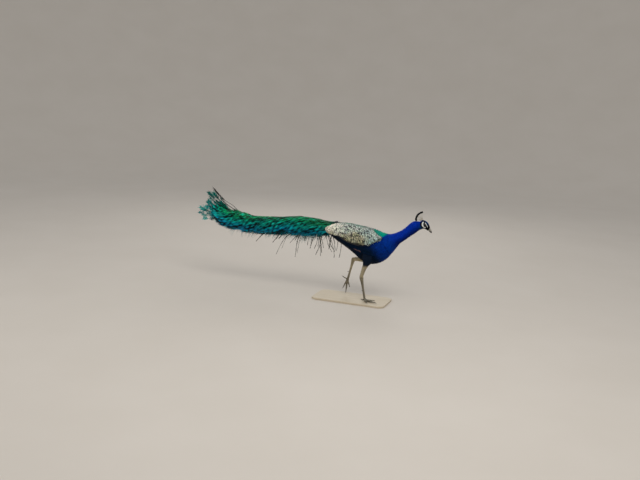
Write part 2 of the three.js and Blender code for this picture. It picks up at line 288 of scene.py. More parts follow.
def meshPiece(name, places, faces, plume, maps=None):
    mesh = bpy.data.meshes.new(name)
    mesh.vertices.add(len(places))
    mesh.vertices.foreach_set("co", toRow(places).astype(np.float32).ravel())
    mesh.loops.add(faces.size)
    mesh.loops.foreach_set("vertex_index", faces.astype(np.int32).ravel())
    mesh.polygons.add(len(faces))
    mesh.polygons.foreach_set("loop_start", np.arange(0, faces.size, faces.shape[1], dtype=np.int32))
    setSmooth(mesh)
    mesh.update(calc_edges=True)
    for mapName, spots in (maps or {}).items():
        layer = mesh.uv_layers.new(name=mapName)
        layer.data.foreach_set("uv", spots[faces.ravel()].astype(np.float32).ravel())
    setPlume(mesh, plume)
    return linked(name, mesh)


def stripFaces(count, rows, columns):  # quads of many grids of rows by columns of points
    grid = np.arange(rows * columns).reshape(rows, columns)
    quads = np.stack([grid[:-1, :-1], grid[:-1, 1:], grid[1:, 1:], grid[1:, :-1]], -1).reshape(-1, 4)
    return (quads[None] + np.arange(count)[:, None, None] * rows * columns).reshape(-1, 4)


def gridPiece(name, grids, shades, baked=None, vane=None, flip=False):
    # grids: piece, row, column, place; the shades and both maps go by the same rows and columns
    faces = stripFaces(*grids.shape[:3])
    if flip:
        faces = faces[:, ::-1]
    maps = {}
    if baked is not None:
        maps = {"OFBake": baked.reshape(-1, 2), "vane": vane.reshape(-1, 2)}
    return meshPiece(name, grids.reshape(-1, 3), faces, shades.reshape(-1, shades.shape[-1]), maps)


def crossed(us, vs):  # every pair of a row's and a column's number
    return np.stack(np.meshgrid(us, vs, indexing="ij"), -1)


bakePatch = 0.003  # how wide each feather's patch is on its map


def mapSpot(share, angle, span=0.9):  # where on the map a place goes by its share of the length and its angle
    return np.stack(np.broadcast_arrays(share * span + (1 - span) / 2, angle / math.tau * span + 0.5), -1)


# the body's own chart: how far along it a place is, and at what height and side
bodyRows = [
    [352, 548, 356, 516, 14], [332, 555, 338, 508, 22], [306, 560, 322, 496, 31], [277, 552, 299, 477, 34],
    [246, 521, 268, 453, 34.5], [210, 489, 237, 427, 36], [160, 463, 205, 401, 42], [119, 455, 181, 366, 54],
    [82, 465, 152, 322, 68], [40, 471, 120, 285, 80], [0, 475, 76, 257, 87], [-45, 480, 28, 245, 90],
    [-98, 487, -28, 256, 89], [-148, 491, -84, 299, 84], [-198, 486, -145, 338, 72],
    [-244, 473, -206, 371, 54], [-282, 456, -256, 402, 32], [-300, 444, -288, 424, 12],
]  # top x, top z, bottom x, bottom z, half width
trainRows = [
    [-176, 490, -200, 452, 16], [-232, 497, -256, 420, 42], [-310, 501, -322, 407, 58],
    [-407, 511, -402, 397, 72], [-520, 510, -520, 392, 80], [-662, 492, -642, 381, 85],
    [-825, 481, -802, 372, 86], [-922, 497, -906, 373, 82], [-986, 503, -1010, 384, 75],
    [-1044, 519, -1074, 400, 66], [-1084, 546, -1130, 432, 53], [-1114, 574, -1163, 478, 38],
    [-1140, 592, -1176, 524, 18],
]
headPitch = math.radians(-43)
headForward = np.array([math.cos(headPitch), 0, math.sin(headPitch)])
headUp = np.array([-math.sin(headPitch), 0, math.cos(headPitch)])
eyeLevel = np.array([360.0, 0, 538.0])
headStart = 322  # the head's skin is finer in front of this


def headPoint(forward, up, aside):
    return eyeLevel + headForward * forward + headUp * up + np.array([0, aside, 0])


def bodyChart(places, rows=bodyRows, steps=220):
    table = spline(rows, np.linspace(0, 1, steps))
    top, bottom = table[:, [0, 1]], table[:, [2, 3]]
    middle = (top + bottom) / 2
    reach = reachOf(middle)
    across = top - bottom
    topWay, bottomWay = unit(np.gradient(top, axis=0)), unit(np.gradient(bottom, axis=0))
    along, high, way, half = [], [], [], []
    for some in np.array_split(places[:, [0, 2]], max(1, len(places) // 6000)):
        height = ((some[:, None] - bottom) * across).sum(-1) / (across**2).sum(-1)
        spot = bottom + np.clip(height, 0, 1)[..., None] * across
        best = np.linalg.norm(some[:, None] - spot, axis=-1).argmin(1)
        share = np.clip(height[np.arange(len(some)), best], 0, 1)
        along.append(reach[best])
        high.append(share)
        half.append(table[best, 4])
        way.append(blend(bottomWay[best], topWay[best], share))
    high, half, way = np.concatenate(high), np.concatenate(half), np.concatenate(way)
    angle = np.arctan2(places[:, 1] / half, 2 * high - 1)
    way3 = np.stack([way[:, 0], np.zeros(len(way)), way[:, 1]], -1)
    return {"along": np.concatenate(along), "high": high, "angle": angle, "way": way3, "length": reach[-1]}


# the skin
skinLook = {
    "voxel": 0.0026,  # metres between its points before the head and legs are made finer
    "grow": 0.00035,  # closes the thin cuts between the nodes
    # how deep it lies under the coat of each zone
    "depths": {"head": 1.5, "neck": 4.2, "trunk": 6.0, "wing": 4.0, "thigh": 3.4, "leg": 0.2},
}
fleshZones = {"head": "head", "neck_upper": "neck", "neck_lower": "neck", "trunk": "trunk"}
pairedZones = {"wing": "wing", "primaries": "trunk", "thigh": "thigh", "shank": "leg", "foot": "leg"}
for part, zone in pairedZones.items():
    fleshZones |= {part + "_left": zone, part + "_right": zone}
zoneNames = ["head", "neck", "trunk", "wing", "thigh", "leg"]


def mergedCopy(name):
    shape = bmesh.new()
    shape.from_mesh(nodes[name].data)
    bmesh.ops.remove_doubles(shape, verts=shape.verts, dist=2e-6)
    shape.normal_update()
    return shape


def addShape(joined, shape):
    mesh = bpy.data.meshes.new("part")
    shape.to_mesh(mesh)
    shape.free()
    joined.from_mesh(mesh)
    bpy.data.meshes.remove(mesh)


def evaluated(piece):  # the piece's mesh with its modifiers worked in
    mesh = bpy.data.meshes.new_from_object(piece.evaluated_get(bpy.context.evaluated_depsgraph_get()))
    piece.modifiers.clear()
    piece.data = mesh


def revoxeled(piece, size):
    remesh = piece.modifiers.new("remesh", "REMESH")
    remesh.mode = "VOXEL"
    remesh.voxel_size = size
    evaluated(piece)


def relax(spots, edges, strength, rounds):  # draws each place towards the middle of its neighbours
    ends = np.concatenate([edges, edges[:, ::-1]])
    count = np.bincount(ends[:, 0], minlength=len(spots))[:, None]
    for _ in range(rounds):
        total = [np.bincount(ends[:, 0], spots[ends[:, 1], axis], len(spots)) for axis in range(3)]
        spots = spots + (np.stack(total, 1) / count - spots) * strength[:, None]
    return spots


def evened(values, edges, rounds):  # the same for one number at each point
    return relax(np.repeat(values[:, None], 3, 1), edges, np.full(len(values), 0.5), rounds)[:, 0]


joined, zoneOfFace, treeSpots, treeFaces = bmesh.new(), [], [], []
for name, zone in fleshZones.items():
    shape = mergedCopy(name)
    for face in shape.faces:
        zoneOfFace.append(zoneNames.index(zone))
        treeFaces.append([vertex.index + len(treeSpots) for vertex in face.verts])
    treeSpots += [toBird(vertex.co) for vertex in shape.verts]
    for vertex in shape.verts:
        vertex.co += vertex.normal * skinLook["grow"]
    addShape(joined, shape)
fleshTree = BVHTree.FromPolygons([Vector(spot) for spot in treeSpots], treeFaces)
zoneOfFace = np.array(zoneOfFace)


def zonesAt(places):
    return zoneOfFace[[fleshTree.find_nearest(Vector(spot))[2] for spot in places]]


skin = pieceFrom("skin", joined)
revoxeled(skin, skinLook["voxel"])


def headPlaces(places):  # forward, up and aside in the head's own frame
    offset = places - eyeLevel
    return offset @ headForward, offset @ headUp, offset[:, 1]


def refine(mesh, chosen):
    shape = bmesh.new()
    shape.from_mesh(mesh)
    shape.verts.ensure_lookup_table()
    edges = [edge for edge in shape.edges if chosen[edge.verts[0].index] and chosen[edge.verts[1].index]]
    bmesh.ops.subdivide_edges(shape, edges=edges, cuts=1, use_grid_fill=True)
    bmesh.ops.triangulate(shape, faces=[face for face in shape.faces if len(face.verts) > 4])
    shape.to_mesh(mesh)
    shape.free()


def slimShare(places):  # 1 on the slim lower parts of the thighs
    x, y, z = places.T
    return np.where(y < 0, ease(z, 258, 222), ease(x, -28, -72))


def softened(mesh, bodyStrength, legStrength, rounds):
    spots = spotsOf(mesh)
    zones = zonesAt(toBird(spots))
    slim = np.where(zones == 4, slimShare(toBird(spots)), zones == 5)
    strength = bodyStrength + (legStrength - bodyStrength) * slim
    strength = evened(strength, edgesOf(mesh), 6)
    setSpots(mesh, relax(spots, edgesOf(mesh), strength, rounds))


softened(skin.data, 0.5, 0.12, 14)
places = toBird(spotsOf(skin.data))
refine(skin.data, (zonesAt(places) == 5) | (places[:, 0] > headStart))
softened(skin.data, 0.4, 0.3, 4)
places = toBird(spotsOf(skin.data))
forward, up, aside = headPlaces(places)
refine(skin.data, (forward > -26) & (up > -17) & (up < 21) & (places[:, 0] > headStart))
softened(skin.data, 0.3, 0.0, 3)
print("skin points:", len(skin.data.vertices))

places = toBird(spotsOf(skin.data))
zones = zonesAt(places)
depth = np.array([skinLook["depths"][zone] for zone in zoneNames])[zones]
forward, up, aside = headPlaces(places)
depth = np.where(zones == 0, 0.5 + 1.4 * ease(forward, 8, -24), depth)
depth = np.where(zones == 4, depth - 2.6 * slimShare(places), depth)
depth = evened(depth, edgesOf(skin.data), 30)
depth = np.minimum(depth, np.where(zones == 5, 0.6, 9.0))
places = places - normalsOf(skin.data) * depth[:, None]
collar = ease(forward, 26, 34) * (zones == 0)  # the skin widens to meet the root of the bill
places = places + headUp * (collar * np.clip((up - 1) / 7, -1, 1) * np.where(up > 1, 1.6, 4.0))[:, None]
places = places + headForward * (2.6 * ease(forward, 30, 35) * (zones == 0))[:, None]
places[:, 1] += collar * np.clip(aside / 6, -1, 1) * 1.5
setSpots(skin.data, toRow(places))
setSmooth(skin.data)
skinSpots, skinZones = places, zones
skinFaces = [list(face.vertices) for face in skin.data.polygons]
skinTree = BVHTree.FromPolygons([Vector(spot) for spot in places], skinFaces)


def onSkin(places):  # nearest places on the skin and the skin's directions there
    found = [skinTree.find_nearest(Vector(spot)) for spot in places]
    return np.array([hit[0] for hit in found]), np.array([hit[1] for hit in found])


# laying feathers
skinCorners = cornersOf(skin.data)


def spread(chosen, spacing, seed):  # even random places on the skin, none nearer than the spacing
    random = np.random.default_rng(seed)
    rows = skinCorners[chosen[skinCorners].all(1)]
    a, b, c = (skinSpots[rows[:, k]] for k in range(3))
    area = np.linalg.norm(np.cross(b - a, c - a), axis=1) / 2
    count = int(area.sum() / spacing**2 * 3.2)
    picked = random.choice(len(rows), count, p=area / area.sum())
    share = random.random((count, 2))
    share = np.where(share.sum(1, keepdims=True) > 1, 1 - share, share)
    spots = a[picked] + (b - a)[picked] * share[:, :1] + (c - a)[picked] * share[:, 1:]
    cells, kept = {}, []
    keys = np.floor(spots / spacing).astype(int)
    for i, (key, spot) in enumerate(zip(map(tuple, keys.tolist()), spots.tolist())):
        near = (
            cells.get((key[0] + dx, key[1] + dy, key[2] + dz), ())
            for dx in (-1, 0, 1) for dy in (-1, 0, 1) for dz in (-1, 0, 1)
        )
        if all(
            (o[0] - spot[0]) ** 2 + (o[1] - spot[1]) ** 2 + (o[2] - spot[2]) ** 2 > spacing**2
            for group in near for o in group
        ):
            cells.setdefault(key, []).append(spot)
            kept.append(i)
    return spots[kept]


def vaneShape(us, point, start=0.35):  # half width along a feather, as a share of its greatest
    us = np.asarray(us, float)
    return np.clip(us / start, 0, 1) ** 0.5 * np.clip((1 - us) / (1 - start), 0, 1) ** point


def layFeathers(name, roots, ways, look, colours, chart, seed, follow=0.8):
    # colours(roots, random, us) gives a colour for each row of each feather
    random = np.random.default_rng(seed)
    count, rows = len(roots), look["rows"]
    length = look["length"] * (1 + random.uniform(-0.16, 0.16, count))
    width = look["width"] * (1 + random.uniform(-0.14, 0.14, count)) / 2
    spots, normals = onSkin(roots)
    ways = unit(ways - normals * (ways * normals).sum(1)[:, None])
    turn = random.normal(0, look.get("stray", 0.09), count)[:, None]
    ways = unit(ways * np.cos(turn) + np.cross(normals, ways) * np.sin(turn))
    lift = look["lift"] * (1 + random.uniform(-0.25, 0.2, count))
    tilt = random.normal(0, look.get("tilt", 0.1), count)[:, None]
    us = np.linspace(0, 1, rows)
    columns = np.array(look.get("columns", [-1.0, 0.0, 1.0]))
    widths = vaneShape(np.minimum(us, 0.985), look.get("point", 0.5), look.get("shoulder", 0.45))
    grid = np.empty((count, rows, len(columns), 3))
    for row, u in enumerate(us):
        if row:
            step = spots + ways * (length / (rows - 1))[:, None]
            nearest, facing = onSkin(step)
            held = (facing * normals).sum(1) > follow  # where the skin turns too sharply they go straight on
            spots = np.where(held[:, None], nearest, step)
            normals = np.where(held[:, None], facing, normals)
            ways = unit(ways - normals * (ways * normals).sum(1)[:, None])
        side = np.cross(normals, ways)
        side = unit(side + normals * tilt)
        height = -0.4 + (lift + 0.4) * ease(u, -0.15, 1.0)
        for column, v in enumerate(columns):
            reach = widths[row] * width
            drop = look.get("droop", 0.22) * reach * v * v
            grid[:, row, column] = spots + normals * (height - drop)[:, None] + side * (v * reach)[:, None]
    centre = mapSpot(chart["along"] / chart["length"], chart["angle"], 0.94)
    baked = centre[:, None, None] + crossed(us - 0.5, columns / 2) * bakePatch
    salt = random.integers(0, 40, count)[:, None, None]
    vane = np.stack(np.broadcast_arrays(us[None, :, None] + salt * 3.0, columns[None, None, :]), -1)
    shades = colours(roots, random, us)
    shades = np.broadcast_to(shades[:, :, None], (*grid.shape[:3], shades.shape[-1]))
    return gridPiece(name, grid, shades, baked, vane)


# the plumage's colours, the same on the skin and on the feathers over it
# cobalt, and the same blue darkened as painted shade for the lower sides
cobalt, paintedShadeCobalt = paint(0, 44, 152), paint(0, 25, 98)
breastBlue, blueBlack = paint(0, 50, 140), paint(2, 21, 42)
crownBlue, faceBlack, faceWhite = paint(6, 54, 104), paint(7, 9, 15), paint(214, 216, 212)
mantleGreen, mantleEdge = paint(0, 156, 128), paint(0, 80, 84)
ventBrown, tibiaBuff, legGrey = paint(18, 24, 32), paint(164, 152, 124), paint(118, 110, 92)


def faceMarks(places):  # how white the bare skin is, and how dark the stripes are
    forward, up, aside = headPlaces(places)
    warp = ripple(places, 7, 3) * 0.5
    outer = ((forward - 0.5) / 24) ** 2 + ((up - 6 + warp) / 21) ** 2
    inner = ((forward - 4) / 16.4) ** 2 + ((up - 9.5 + warp) / 15.2) ** 2
    horn = up + 0.7 * np.clip(forward + 22, 0, 12) + warp * 2
    crescent = ease(outer, 1.05, 0.95) * ease(inner, 0.94, 1.06) * ease(horn, 17, 13) * ease(forward, 20, 13)
    arch = np.abs(up - (13.8 - 0.008 * (forward + 4) ** 2 - 0.08 * forward))
    stripe = ease(arch, 2.2, 1.4) * ease(forward, -12, -8) * ease(forward, 25, 20)
    white = np.maximum(crescent, stripe) * ease(np.abs(aside), 6, 9)
    rim = np.maximum(ease(outer, 1.95, 1.6) * ease(up, 20, 16), ease(forward, 16, 22) * ease(up, 15, 11))
    return white, np.clip(rim - white, 0, 1)


def headPaint(places, bare=0.0):  # bare is 1 on the skin, where the white marks show
    forward, up, aside = headPlaces(places)
    white, dark = faceMarks(places)
    colour = blend(np.broadcast_to(cobalt * 0.9, places.shape), crownBlue, ease(forward + up * 0.4, -30, -14))
    colour = blend(colour, faceBlack, dark * ease(forward, -34, -22))
    return blend(colour, faceWhite, white * bare)


def bodyPaint(places):
    chart = bodyChart(places)
    x, z = places[:, 0], places[:, 2]
    lumps = ripple(places, 60, 5)
    # painted shade: the lower side of the neck and body darkens towards the shaded blue
    low = ease(chart["high"] + lumps * 0.06, 0.62, 0.12)
    colour = blend(np.broadcast_to(cobalt, places.shape), paintedShadeCobalt, low)
    breast = blend(blueBlack, breastBlue, ease(x * 0.75 + z * 0.65 + lumps * 12, 246, 352))
    colour = blend(colour, breast, ease(x + (z - 400) * 0.5, 215, 150))
    nape = ease(x, 326, 348)
    colour = blend(colour, headPaint(places), nape)
    mantle = ease(z - 458 - (x - 137) * 0.72 + lumps * 3, -3, 5) * ease(x, 143, 134) * ease(z, 425, 440)
    colour = blend(colour, mantleGreen, mantle)
    vent = ease(x, -120, -190) * ease(chart["high"], 0.5, 0.25)
    return blend(colour, ventBrown, vent * 0.7)


def buffShare(places):  # 1 where the legs' own buff begins below the dark thighs
    x, y, z = places.T
    return np.where(y < 0, ease(z, 258, 236), ease(x, 4, -40))


def legPaint(places):
    z = places[:, 2]
    stain = ripple(places, 18, 9)
    colour = blend(np.broadcast_to(legGrey, places.shape), tibiaBuff, ease(z, 120, 205))
    return colour * (1 + stain * 0.08)[:, None]


def wingPaint(places):  # the last number is how strongly the feathers are barred
    x, y, z = places.T
    lumps = ripple(places, 46, 12)
    lower = ease(z - (470 + x * 0.02), 10, -40)
    rear = ease(x + lumps * 14, -70, -250)
    pale = np.minimum(rear * 0.7 + ease(x, 20, -80) * 0.2 + ease(lumps, 0.2, 0.9) * 0.2, 1)
    cream = blend(paint(174, 194, 182), paint(228, 218, 196), pale)
    drab = ease(lower * ease(np.abs(x + 60), 150, 40) + lumps * 0.1, 0.35, 1.0)
    colour = blend(cream, paint(172, 166, 132), drab)
    bars = np.clip(1.08 - 0.68 * ease(x + lumps * 20, -60, -240) + 0.1 * lower, 0, 1)
    back = ease(np.abs(y), 22, 12) * ease(x, 30, -10)
    colour = blend(colour, paint(70, 112, 92), back * 0.75)
    return np.concatenate([colour, (bars * (1 - back * 0.35))[:, None]], 1)


skinPlume = np.ones((len(skinSpots), 3))
for zone, painter in enumerate([headPaint, bodyPaint, bodyPaint, wingPaint, bodyPaint, legPaint]):
    here = skinZones == zone
    skinPlume[here] = (painter(skinSpots[here], 1.0) if zone == 0 else painter(skinSpots[here]))[:, :3]
low = buffShare(skinSpots) * (skinZones == 4)
skinPlume = blend(skinPlume, legPaint(skinSpots), low)
# painted shade: the skin under the feathers is painted dark, so gaps between them read as shade
underCoatShade = np.isin(skinZones, [1, 2, 3, 4]) * (1 - low)
skinPlume = skinPlume * (1 - 0.75 * underCoatShade)[:, None]


def skinFinish(start):
    pores = grain(start, 0.0016, 4.0)
    folds = grain(start, 0.006, 3.0)
    limb = start.node("Attribute", {"attribute_name": "limb"}, 1)
    leg = start.node("Attribute", {"attribute_name": "limb"}, 3)
    cells = start.node("TexVoronoi", {"feature": "DISTANCE_TO_EDGE"}, Vector=limb, Scale=1.0)
    scale = cells.between(0.02, 0.16)
    shade = 1 + (folds - 0.5) * 0.35 + (scale - 1) * 0.35 * leg
    return {
        "Base_Color": plumeOf(start).times(shade), "Roughness": 0.6 + (pores - 0.5) * 0.3,
        "height": (pores * 0.4 + folds * 0.5 + scale * leg * 1.6, 0.00035),
    }


# head, neck and body feathers
def shaded(colour, random, us, root=0.5, tip=1.08, spreadOut=0.12, hue=0.06):
    bright = 1 + random.normal(0, spreadOut, len(colour))
    tone = 1 + random.normal(0, hue, (len(colour), 3))
    along = root + (tip - root) * np.asarray(us) ** 0.8
    return (colour * tone)[:, None, :] * (bright[:, None] * along[None])[..., None]


silk = featherFinish("silkFeather", 9.0, 0.12, 0.00012, 0.55, Metallic=0.05, Specular_IOR_Level=0.04)
scaly = featherFinish("scalyFeather", 14.0, 0.14, 0.0002, 0.5, Metallic=0.1, Specular_IOR_Level=0.05)
downy = featherFinish("downyFeather", 12.0, 0.2, 0.0002, 0.8, Specular_IOR_Level=0.15)


def coat(name, roots, look, tones, seed, finish, ways=None, follow=0.8):
    chart = bodyChart(roots)
    ways = chart["way"] if ways is None else ways
    finishPiece(layFeathers(name, roots, ways, look, tones, chart, seed, follow), [], finish)


def spreadBoth(chosen, close, look, seeds):  # closer together where close is true
    return np.concatenate([
        spread(chosen & ~close, look["spacing"], seeds[0]),
        spread(chosen & close, look["spacing"] * look["closer"], seeds[1]),
    ])


def headWays(roots):
    forward, up, aside = headPlaces(roots)
    way = -headForward[None] + headUp[None] * (-0.35 * ease(up, 14, -12))[:, None]
    return np.broadcast_to(way, roots.shape)


headLook = {"spacing": 1.2, "rows": 4, "point": 0.5, "tilt": 0.06}
roots = spread(skinZones == 0, headLook["spacing"], 21)
forward, up, aside = headPlaces(roots)
white, dark = faceMarks(roots)
eyeGap = np.hypot(forward, up - 2)
roots = roots[(white < 0.2) & (eyeGap > 7.4) & (forward < 35)]
forward, up, aside = headPlaces(roots)
crown = ease(forward, 12, -26)
headLook |= {"length": 3.9 + 2.8 * crown, "width": 2.0 + 0.9 * crown, "lift": 0.7 + 1.1 * crown}
coat(
    "headCoat", roots, headLook,
    lambda spots, random, us: shaded(headPaint(spots), random, us, 0.75, 1.05, 0.07, 0.03),
    22, silk, headWays(roots),
)

neckLook = {"spacing": 3.0, "closer": 0.62, "rows": 5, "point": 0.36, "stray": 0.05, "tilt": 0.05}
# the feathers grow small and close towards the head
roots = spreadBoth(skinZones == 1, skinSpots[:, 0] > 306, neckLook, (31, 33))
nearHead = ease(roots[:, 0], 292, 340)
neckLook |= {"length": 13 - 6 * nearHead, "width": 6.8 - 3.6 * nearHead, "lift": 4.4 - 2.3 * nearHead}
coat(
    "neckCoat", roots, neckLook,
    lambda spots, random, us: shaded(bodyPaint(spots), random, us, 0.5, 1.12, 0.1), 32, silk,
)

bodyLook = {"spacing": 4.6, "rows": 5, "point": 0.38, "stray": 0.07, "tilt": 0.06}
roots = spread(skinZones == 2, bodyLook["spacing"], 41)
x, y, z = roots.T
onMantle = (z > 458 + (x - 137) * 0.72) & (x < 140) & (z > 432)
tucked = (z > 440) & (x < -110) | (x < -255)  # under the wings and the train
roots = roots[~onMantle & ~tucked]
nearNeck = ease(roots[:, 0] + (roots[:, 2] - 430) * 0.57, 40, 105)  # they grow smaller towards the neck
bodyLook |= {"length": 21 - 6 * nearNeck, "width": 11.5 - 3.6 * nearNeck, "lift": 6.1 - 1.5 * nearNeck}
coat(
    "bodyCoat", roots, bodyLook,
    lambda spots, random, us: shaded(bodyPaint(spots), random, us, 0.45, 1.12, 0.12),
    42, silk, follow=0.5,
)

mantleLook = {
    "spacing": 7.0, "length": 19, "width": 16, "lift": 6.0, "rows": 6, "point": 0.4, "shoulder": 0.6,
    "columns": [-1, -0.5, 0, 0.5, 1], "stray": 0.06, "droop": 0.16,
}
highTrunk = (skinZones == 2) & (skinSpots[:, 2] > 425) & (skinSpots[:, 0] < 145)
roots = spread(highTrunk, mantleLook["spacing"], 51)
x, y, z = roots.T
roots = roots[(z > 456 + (x - 137) * 0.72) & (x < 141) & (x > -10)]


def mantleTones(spots, random, us):  # each feather has an edge of another colour
    colour = shaded(np.broadcast_to(mantleGreen, spots.shape), random, us, 0.6, 1.15, 0.1)
    return blend(colour, mantleEdge, np.broadcast_to(ease(us, 0.74, 0.95), colour.shape[:2]))


coat("mantleCoat", roots, mantleLook, mantleTones, 52, scaly)
print("head, neck and body feathered")

# wings
wingLower = np.array([
    [-285, 458], [-278, 442], [-250, 430], [-204, 426], [-166, 419], [-132, 401], [-84, 391], [-30, 385],
    [20, 392], [70, 412], [107, 434],
])  # the folded wing's lower edge: x, z
wingLook = {
    "spacing": 8.6, "front": 66, "closer": 0.52, "lookAhead": 18, "rows": 6, "point": 0.36,
    "shoulder": 0.6, "columns": [-1, -0.5, 0, 0.5, 1], "stray": 0.12, "droop": 0.14,
}


def wingEdge(x):
    return np.interp(x, wingLower[:, 0], wingLower[:, 1])


def wingWays(roots):
    x, y, z = roots.T
    edge = wingEdge(x)
    low = ease((z - edge) / np.maximum(490 - edge, 10), 0.85, 0.0)
    rise = (wingEdge(x - 12) - wingEdge(x + 12)) / 24 * low + 0.04
    return unit(np.stack([-np.ones(len(x)), -np.sign(y) * 0.05, rise], -1))


def barredFinish(start):
    vane = start.node("UVMap", {"uv_map": "vane"})
    along, across = vane.part(0), vane.part(1)
    bend = grain(start, 0.5, 2.0, vane)
    fleck = grain(start, 0.0032, 3.0)
    plume, strength = plumeOf(start), plumeOf(start, 3)
    patch = grain(start, 0.011, 1.0)
    line = ((along + across.size() * 0.1 + bend * 0.16 + 0.2) * (3.0 * math.tau)).wave()
    speckle = (patch - 0.5) * strength
    bars = (line + (fleck - 0.5) * 1.1 + speckle * 4.6 + (strength - 0.6) * 1.2).between(-0.15, 0.3)
    barb = ((along - across.size() * 0.5) * (18 * math.tau)).wave()
    ground = plume.times(1.04 + barb * 0.06 + (fleck - 0.5) * 0.25 - speckle * 1.4)
    colour = (bars * (strength * 0.72 + 0.22)).pick(ground, tint(27, 29, 31))
    return {
        "Base_Color": colour, "Roughness": 0.66 + (fleck - 0.5) * 0.3,
        "height": (barb * 0.5 + fleck, 0.00018),
    }


barred = material("barredFeather", barredFinish, Specular_IOR_Level=0.25)


def wingShades(spots, random, us):
    base = wingPaint(spots)
    shade = shaded(base[:, :3], random, us, 0.8, 1.05, 0.2, 0.04)
    strength = np.clip(base[:, 3] * random.uniform(0.5, 1.4, len(spots)), 0, 1)
    return np.concatenate([shade, np.broadcast_to(strength[:, None, None], (*shade.shape[:2], 1))], -1)


wingFront = skinSpots[:, 0] > wingLook["front"]  # smaller and closer feathers at the wing's front corner
for side, name in ((1, "left"), (-1, "right")):
    rows = (skinZones == 3) & (skinSpots[:, 1] * side > 0)
    roots = spreadBoth(rows, wingFront, wingLook, (60 + side, 74 + side))
    facing = onSkin(roots)[1]
    # no feather reaches past the folded wing's own end, which lies further back at its outer side
    end = np.maximum(-232 - np.maximum(np.abs(roots[:, 1]) - 18, 0) * 1.75, -286)
    ahead = onSkin(roots - np.array([wingLook["lookAhead"], 0, 0]))[1]
    rising = np.maximum(facing[:, 0], ahead[:, 0] - 0.1) > 0.35  # where the body comes up out of the wing
    steep = (facing[:, 0] < -0.8) | rising & (roots[:, 0] < -90)
    below = roots[:, 2] < wingEdge(roots[:, 0]) - 3
    kept = ~steep & (roots[:, 0] - end > 6) & ~(below & (roots[:, 0] > 60))
    roots, end = roots[kept], end[kept]
    x, y, z = roots.T
    room = np.clip((x - end) * 0.95, 8, 60)
    small = ease(x, 48, 92)
    large = ease(x, -100, -240)
    wingLook |= {
        "length": np.minimum(29 + 8 * large - 11 * small, room),
        "width": np.minimum(20 + 2 * large - 7 * small, 7 + room * 0.5),
        "lift": 4.0 - 2.5 * ease(x, -220, -276),
    }
    coat(
        "wingCoat_" + name, roots, wingLook, wingShades, 64 + side, barred,
        wingWays(roots), 0.85,
    )

# the feathered parts of the legs
thighLook = {"spacing": 3.6, "closer": 0.64, "rows": 5, "point": 0.5, "stray": 0.14}
kneeToHock = {
    -1: np.array([[22, -60, 322], [6, -56, 264], [-9, -48, 226], [-28, -42, 158]], float),
    1: np.array([[50, 54, 286], [8, 52, 274], [-36, 45, 263], [-114, 40, 256]], float),
}


def thighWays(roots):
    ways = np.empty_like(roots)
    for side, line in kneeToHock.items():
        here = roots[:, 1] * side > 0
        nearest = np.abs(roots[here][:, None] - (line[:-1] + line[1:])[None] / 2).sum(-1).argmin(1)
        ways[here] = unit(np.diff(line, axis=0))[nearest]
    return ways


def thighShades(spots, random, us):
    # painted light: the buff of the far leg (y above 0) is 1.3 times lighter, against the body's shadow on it
    colour = blend(bodyPaint(spots), tibiaBuff * np.where(spots[:, 1:2] > 0, 1.3, 1.0), buffShare(spots))
    return shaded(colour, random, us, 0.74, 1.06, 0.1, 0.04)


roots = spreadBoth(skinZones == 4, slimShare(skinSpots) > 0.5, thighLook, (71, 73))
slim = slimShare(roots)
thighLook |= {"length": 12 - 3 * slim, "width": 5.5 - 1.2 * slim, "lift": 3.4 - 2.0 * slim}
coat("thighCoat", roots, thighLook, thighShades, 72, downy, thighWays(roots), 0.4)
print("wings and thighs feathered")

# the skin is under the feathers, and bare on the face, legs and feet
limbChart = np.zeros((len(skinSpots), 4))
for side, line in ((-1, [[-28, -42, 166], [1, -38, 13]]), (1, [[-106, 40, 256], [-147, 40, 112]])):
    line = np.array(line, float)
    here = (skinZones == 5) & (skinSpots[:, 1] * side > 0)
    axis = unit(line[1] - line[0])
    offset = skinSpots[here] - line[0]
    along = offset @ axis
    out = offset - along[:, None] * axis
    ring = unit(out)
    length = np.linalg.norm(line[1] - line[0])
    shank = ease(along, length + 4, length - 6)[:, None]
    footChart = (skinSpots[here] - line[1]) / 3.2 + axis * (length / 4.4)
    limbChart[here, :3] = (ring * 1.9 + axis * (along / 4.4)[:, None]) * shank + footChart * (1 - shank)
    limbChart[here, 3] = 1
setColours(skin.data, "limb", limbChart)
setPlume(skin.data, skinPlume)
hidden = skin.vertex_groups.new(name="hidden")
hidden.add(np.nonzero(np.isin(skinZones, [1, 2, 3, 4]))[0].tolist(), 1.0, "REPLACE")
thin = skin.modifiers.new("thin", "DECIMATE")
thin.vertex_group = "hidden"
thin.ratio = 0.55
evaluated(skin)
setSmooth(skin.data)
finishPiece(skin, list(fleshZones), material("skin", skinFinish, Specular_IOR_Level=0.1))
print("skin faces:", len(skin.data.polygons))

# the train
trainShares = np.linspace(0, 1, 400)
trainStops = spline(trainRows, trainShares)
trainMiddle = (trainStops[:, [0, 1]] + trainStops[:, [2, 3]]) / 2
trainReach = reachOf(trainMiddle)
trainLength = trainReach[-1]


def trainRow(along):
    return spline(trainRows, np.interp(along, trainReach, trainShares))


def trainAt(along, angle, depth):  # a place in the train: how far along, the angle from its top, how deep
    row = trainRow(along)
    middle, tall = (row[..., :2] + row[..., 2:4]) / 2, (row[..., :2] - row[..., 2:4]) / 2
    half = np.linalg.norm(tall, axis=-1)
    up = tall / half[..., None]
    high = (half - depth) * np.cos(angle)
    side = (np.maximum(row[..., 4], depth + 2) - depth) * np.sin(angle)
    return np.stack([middle[..., 0] + up[..., 0] * high, side, middle[..., 1] + up[..., 1] * high], -1)


def trainGirth(along, angle):  # millimetres to a radian round the train
    row = trainRow(along)
    half = np.linalg.norm(row[..., :2] - row[..., 2:4], axis=-1) / 2
    return np.hypot(row[..., 4] * np.cos(angle), half * np.sin(angle))


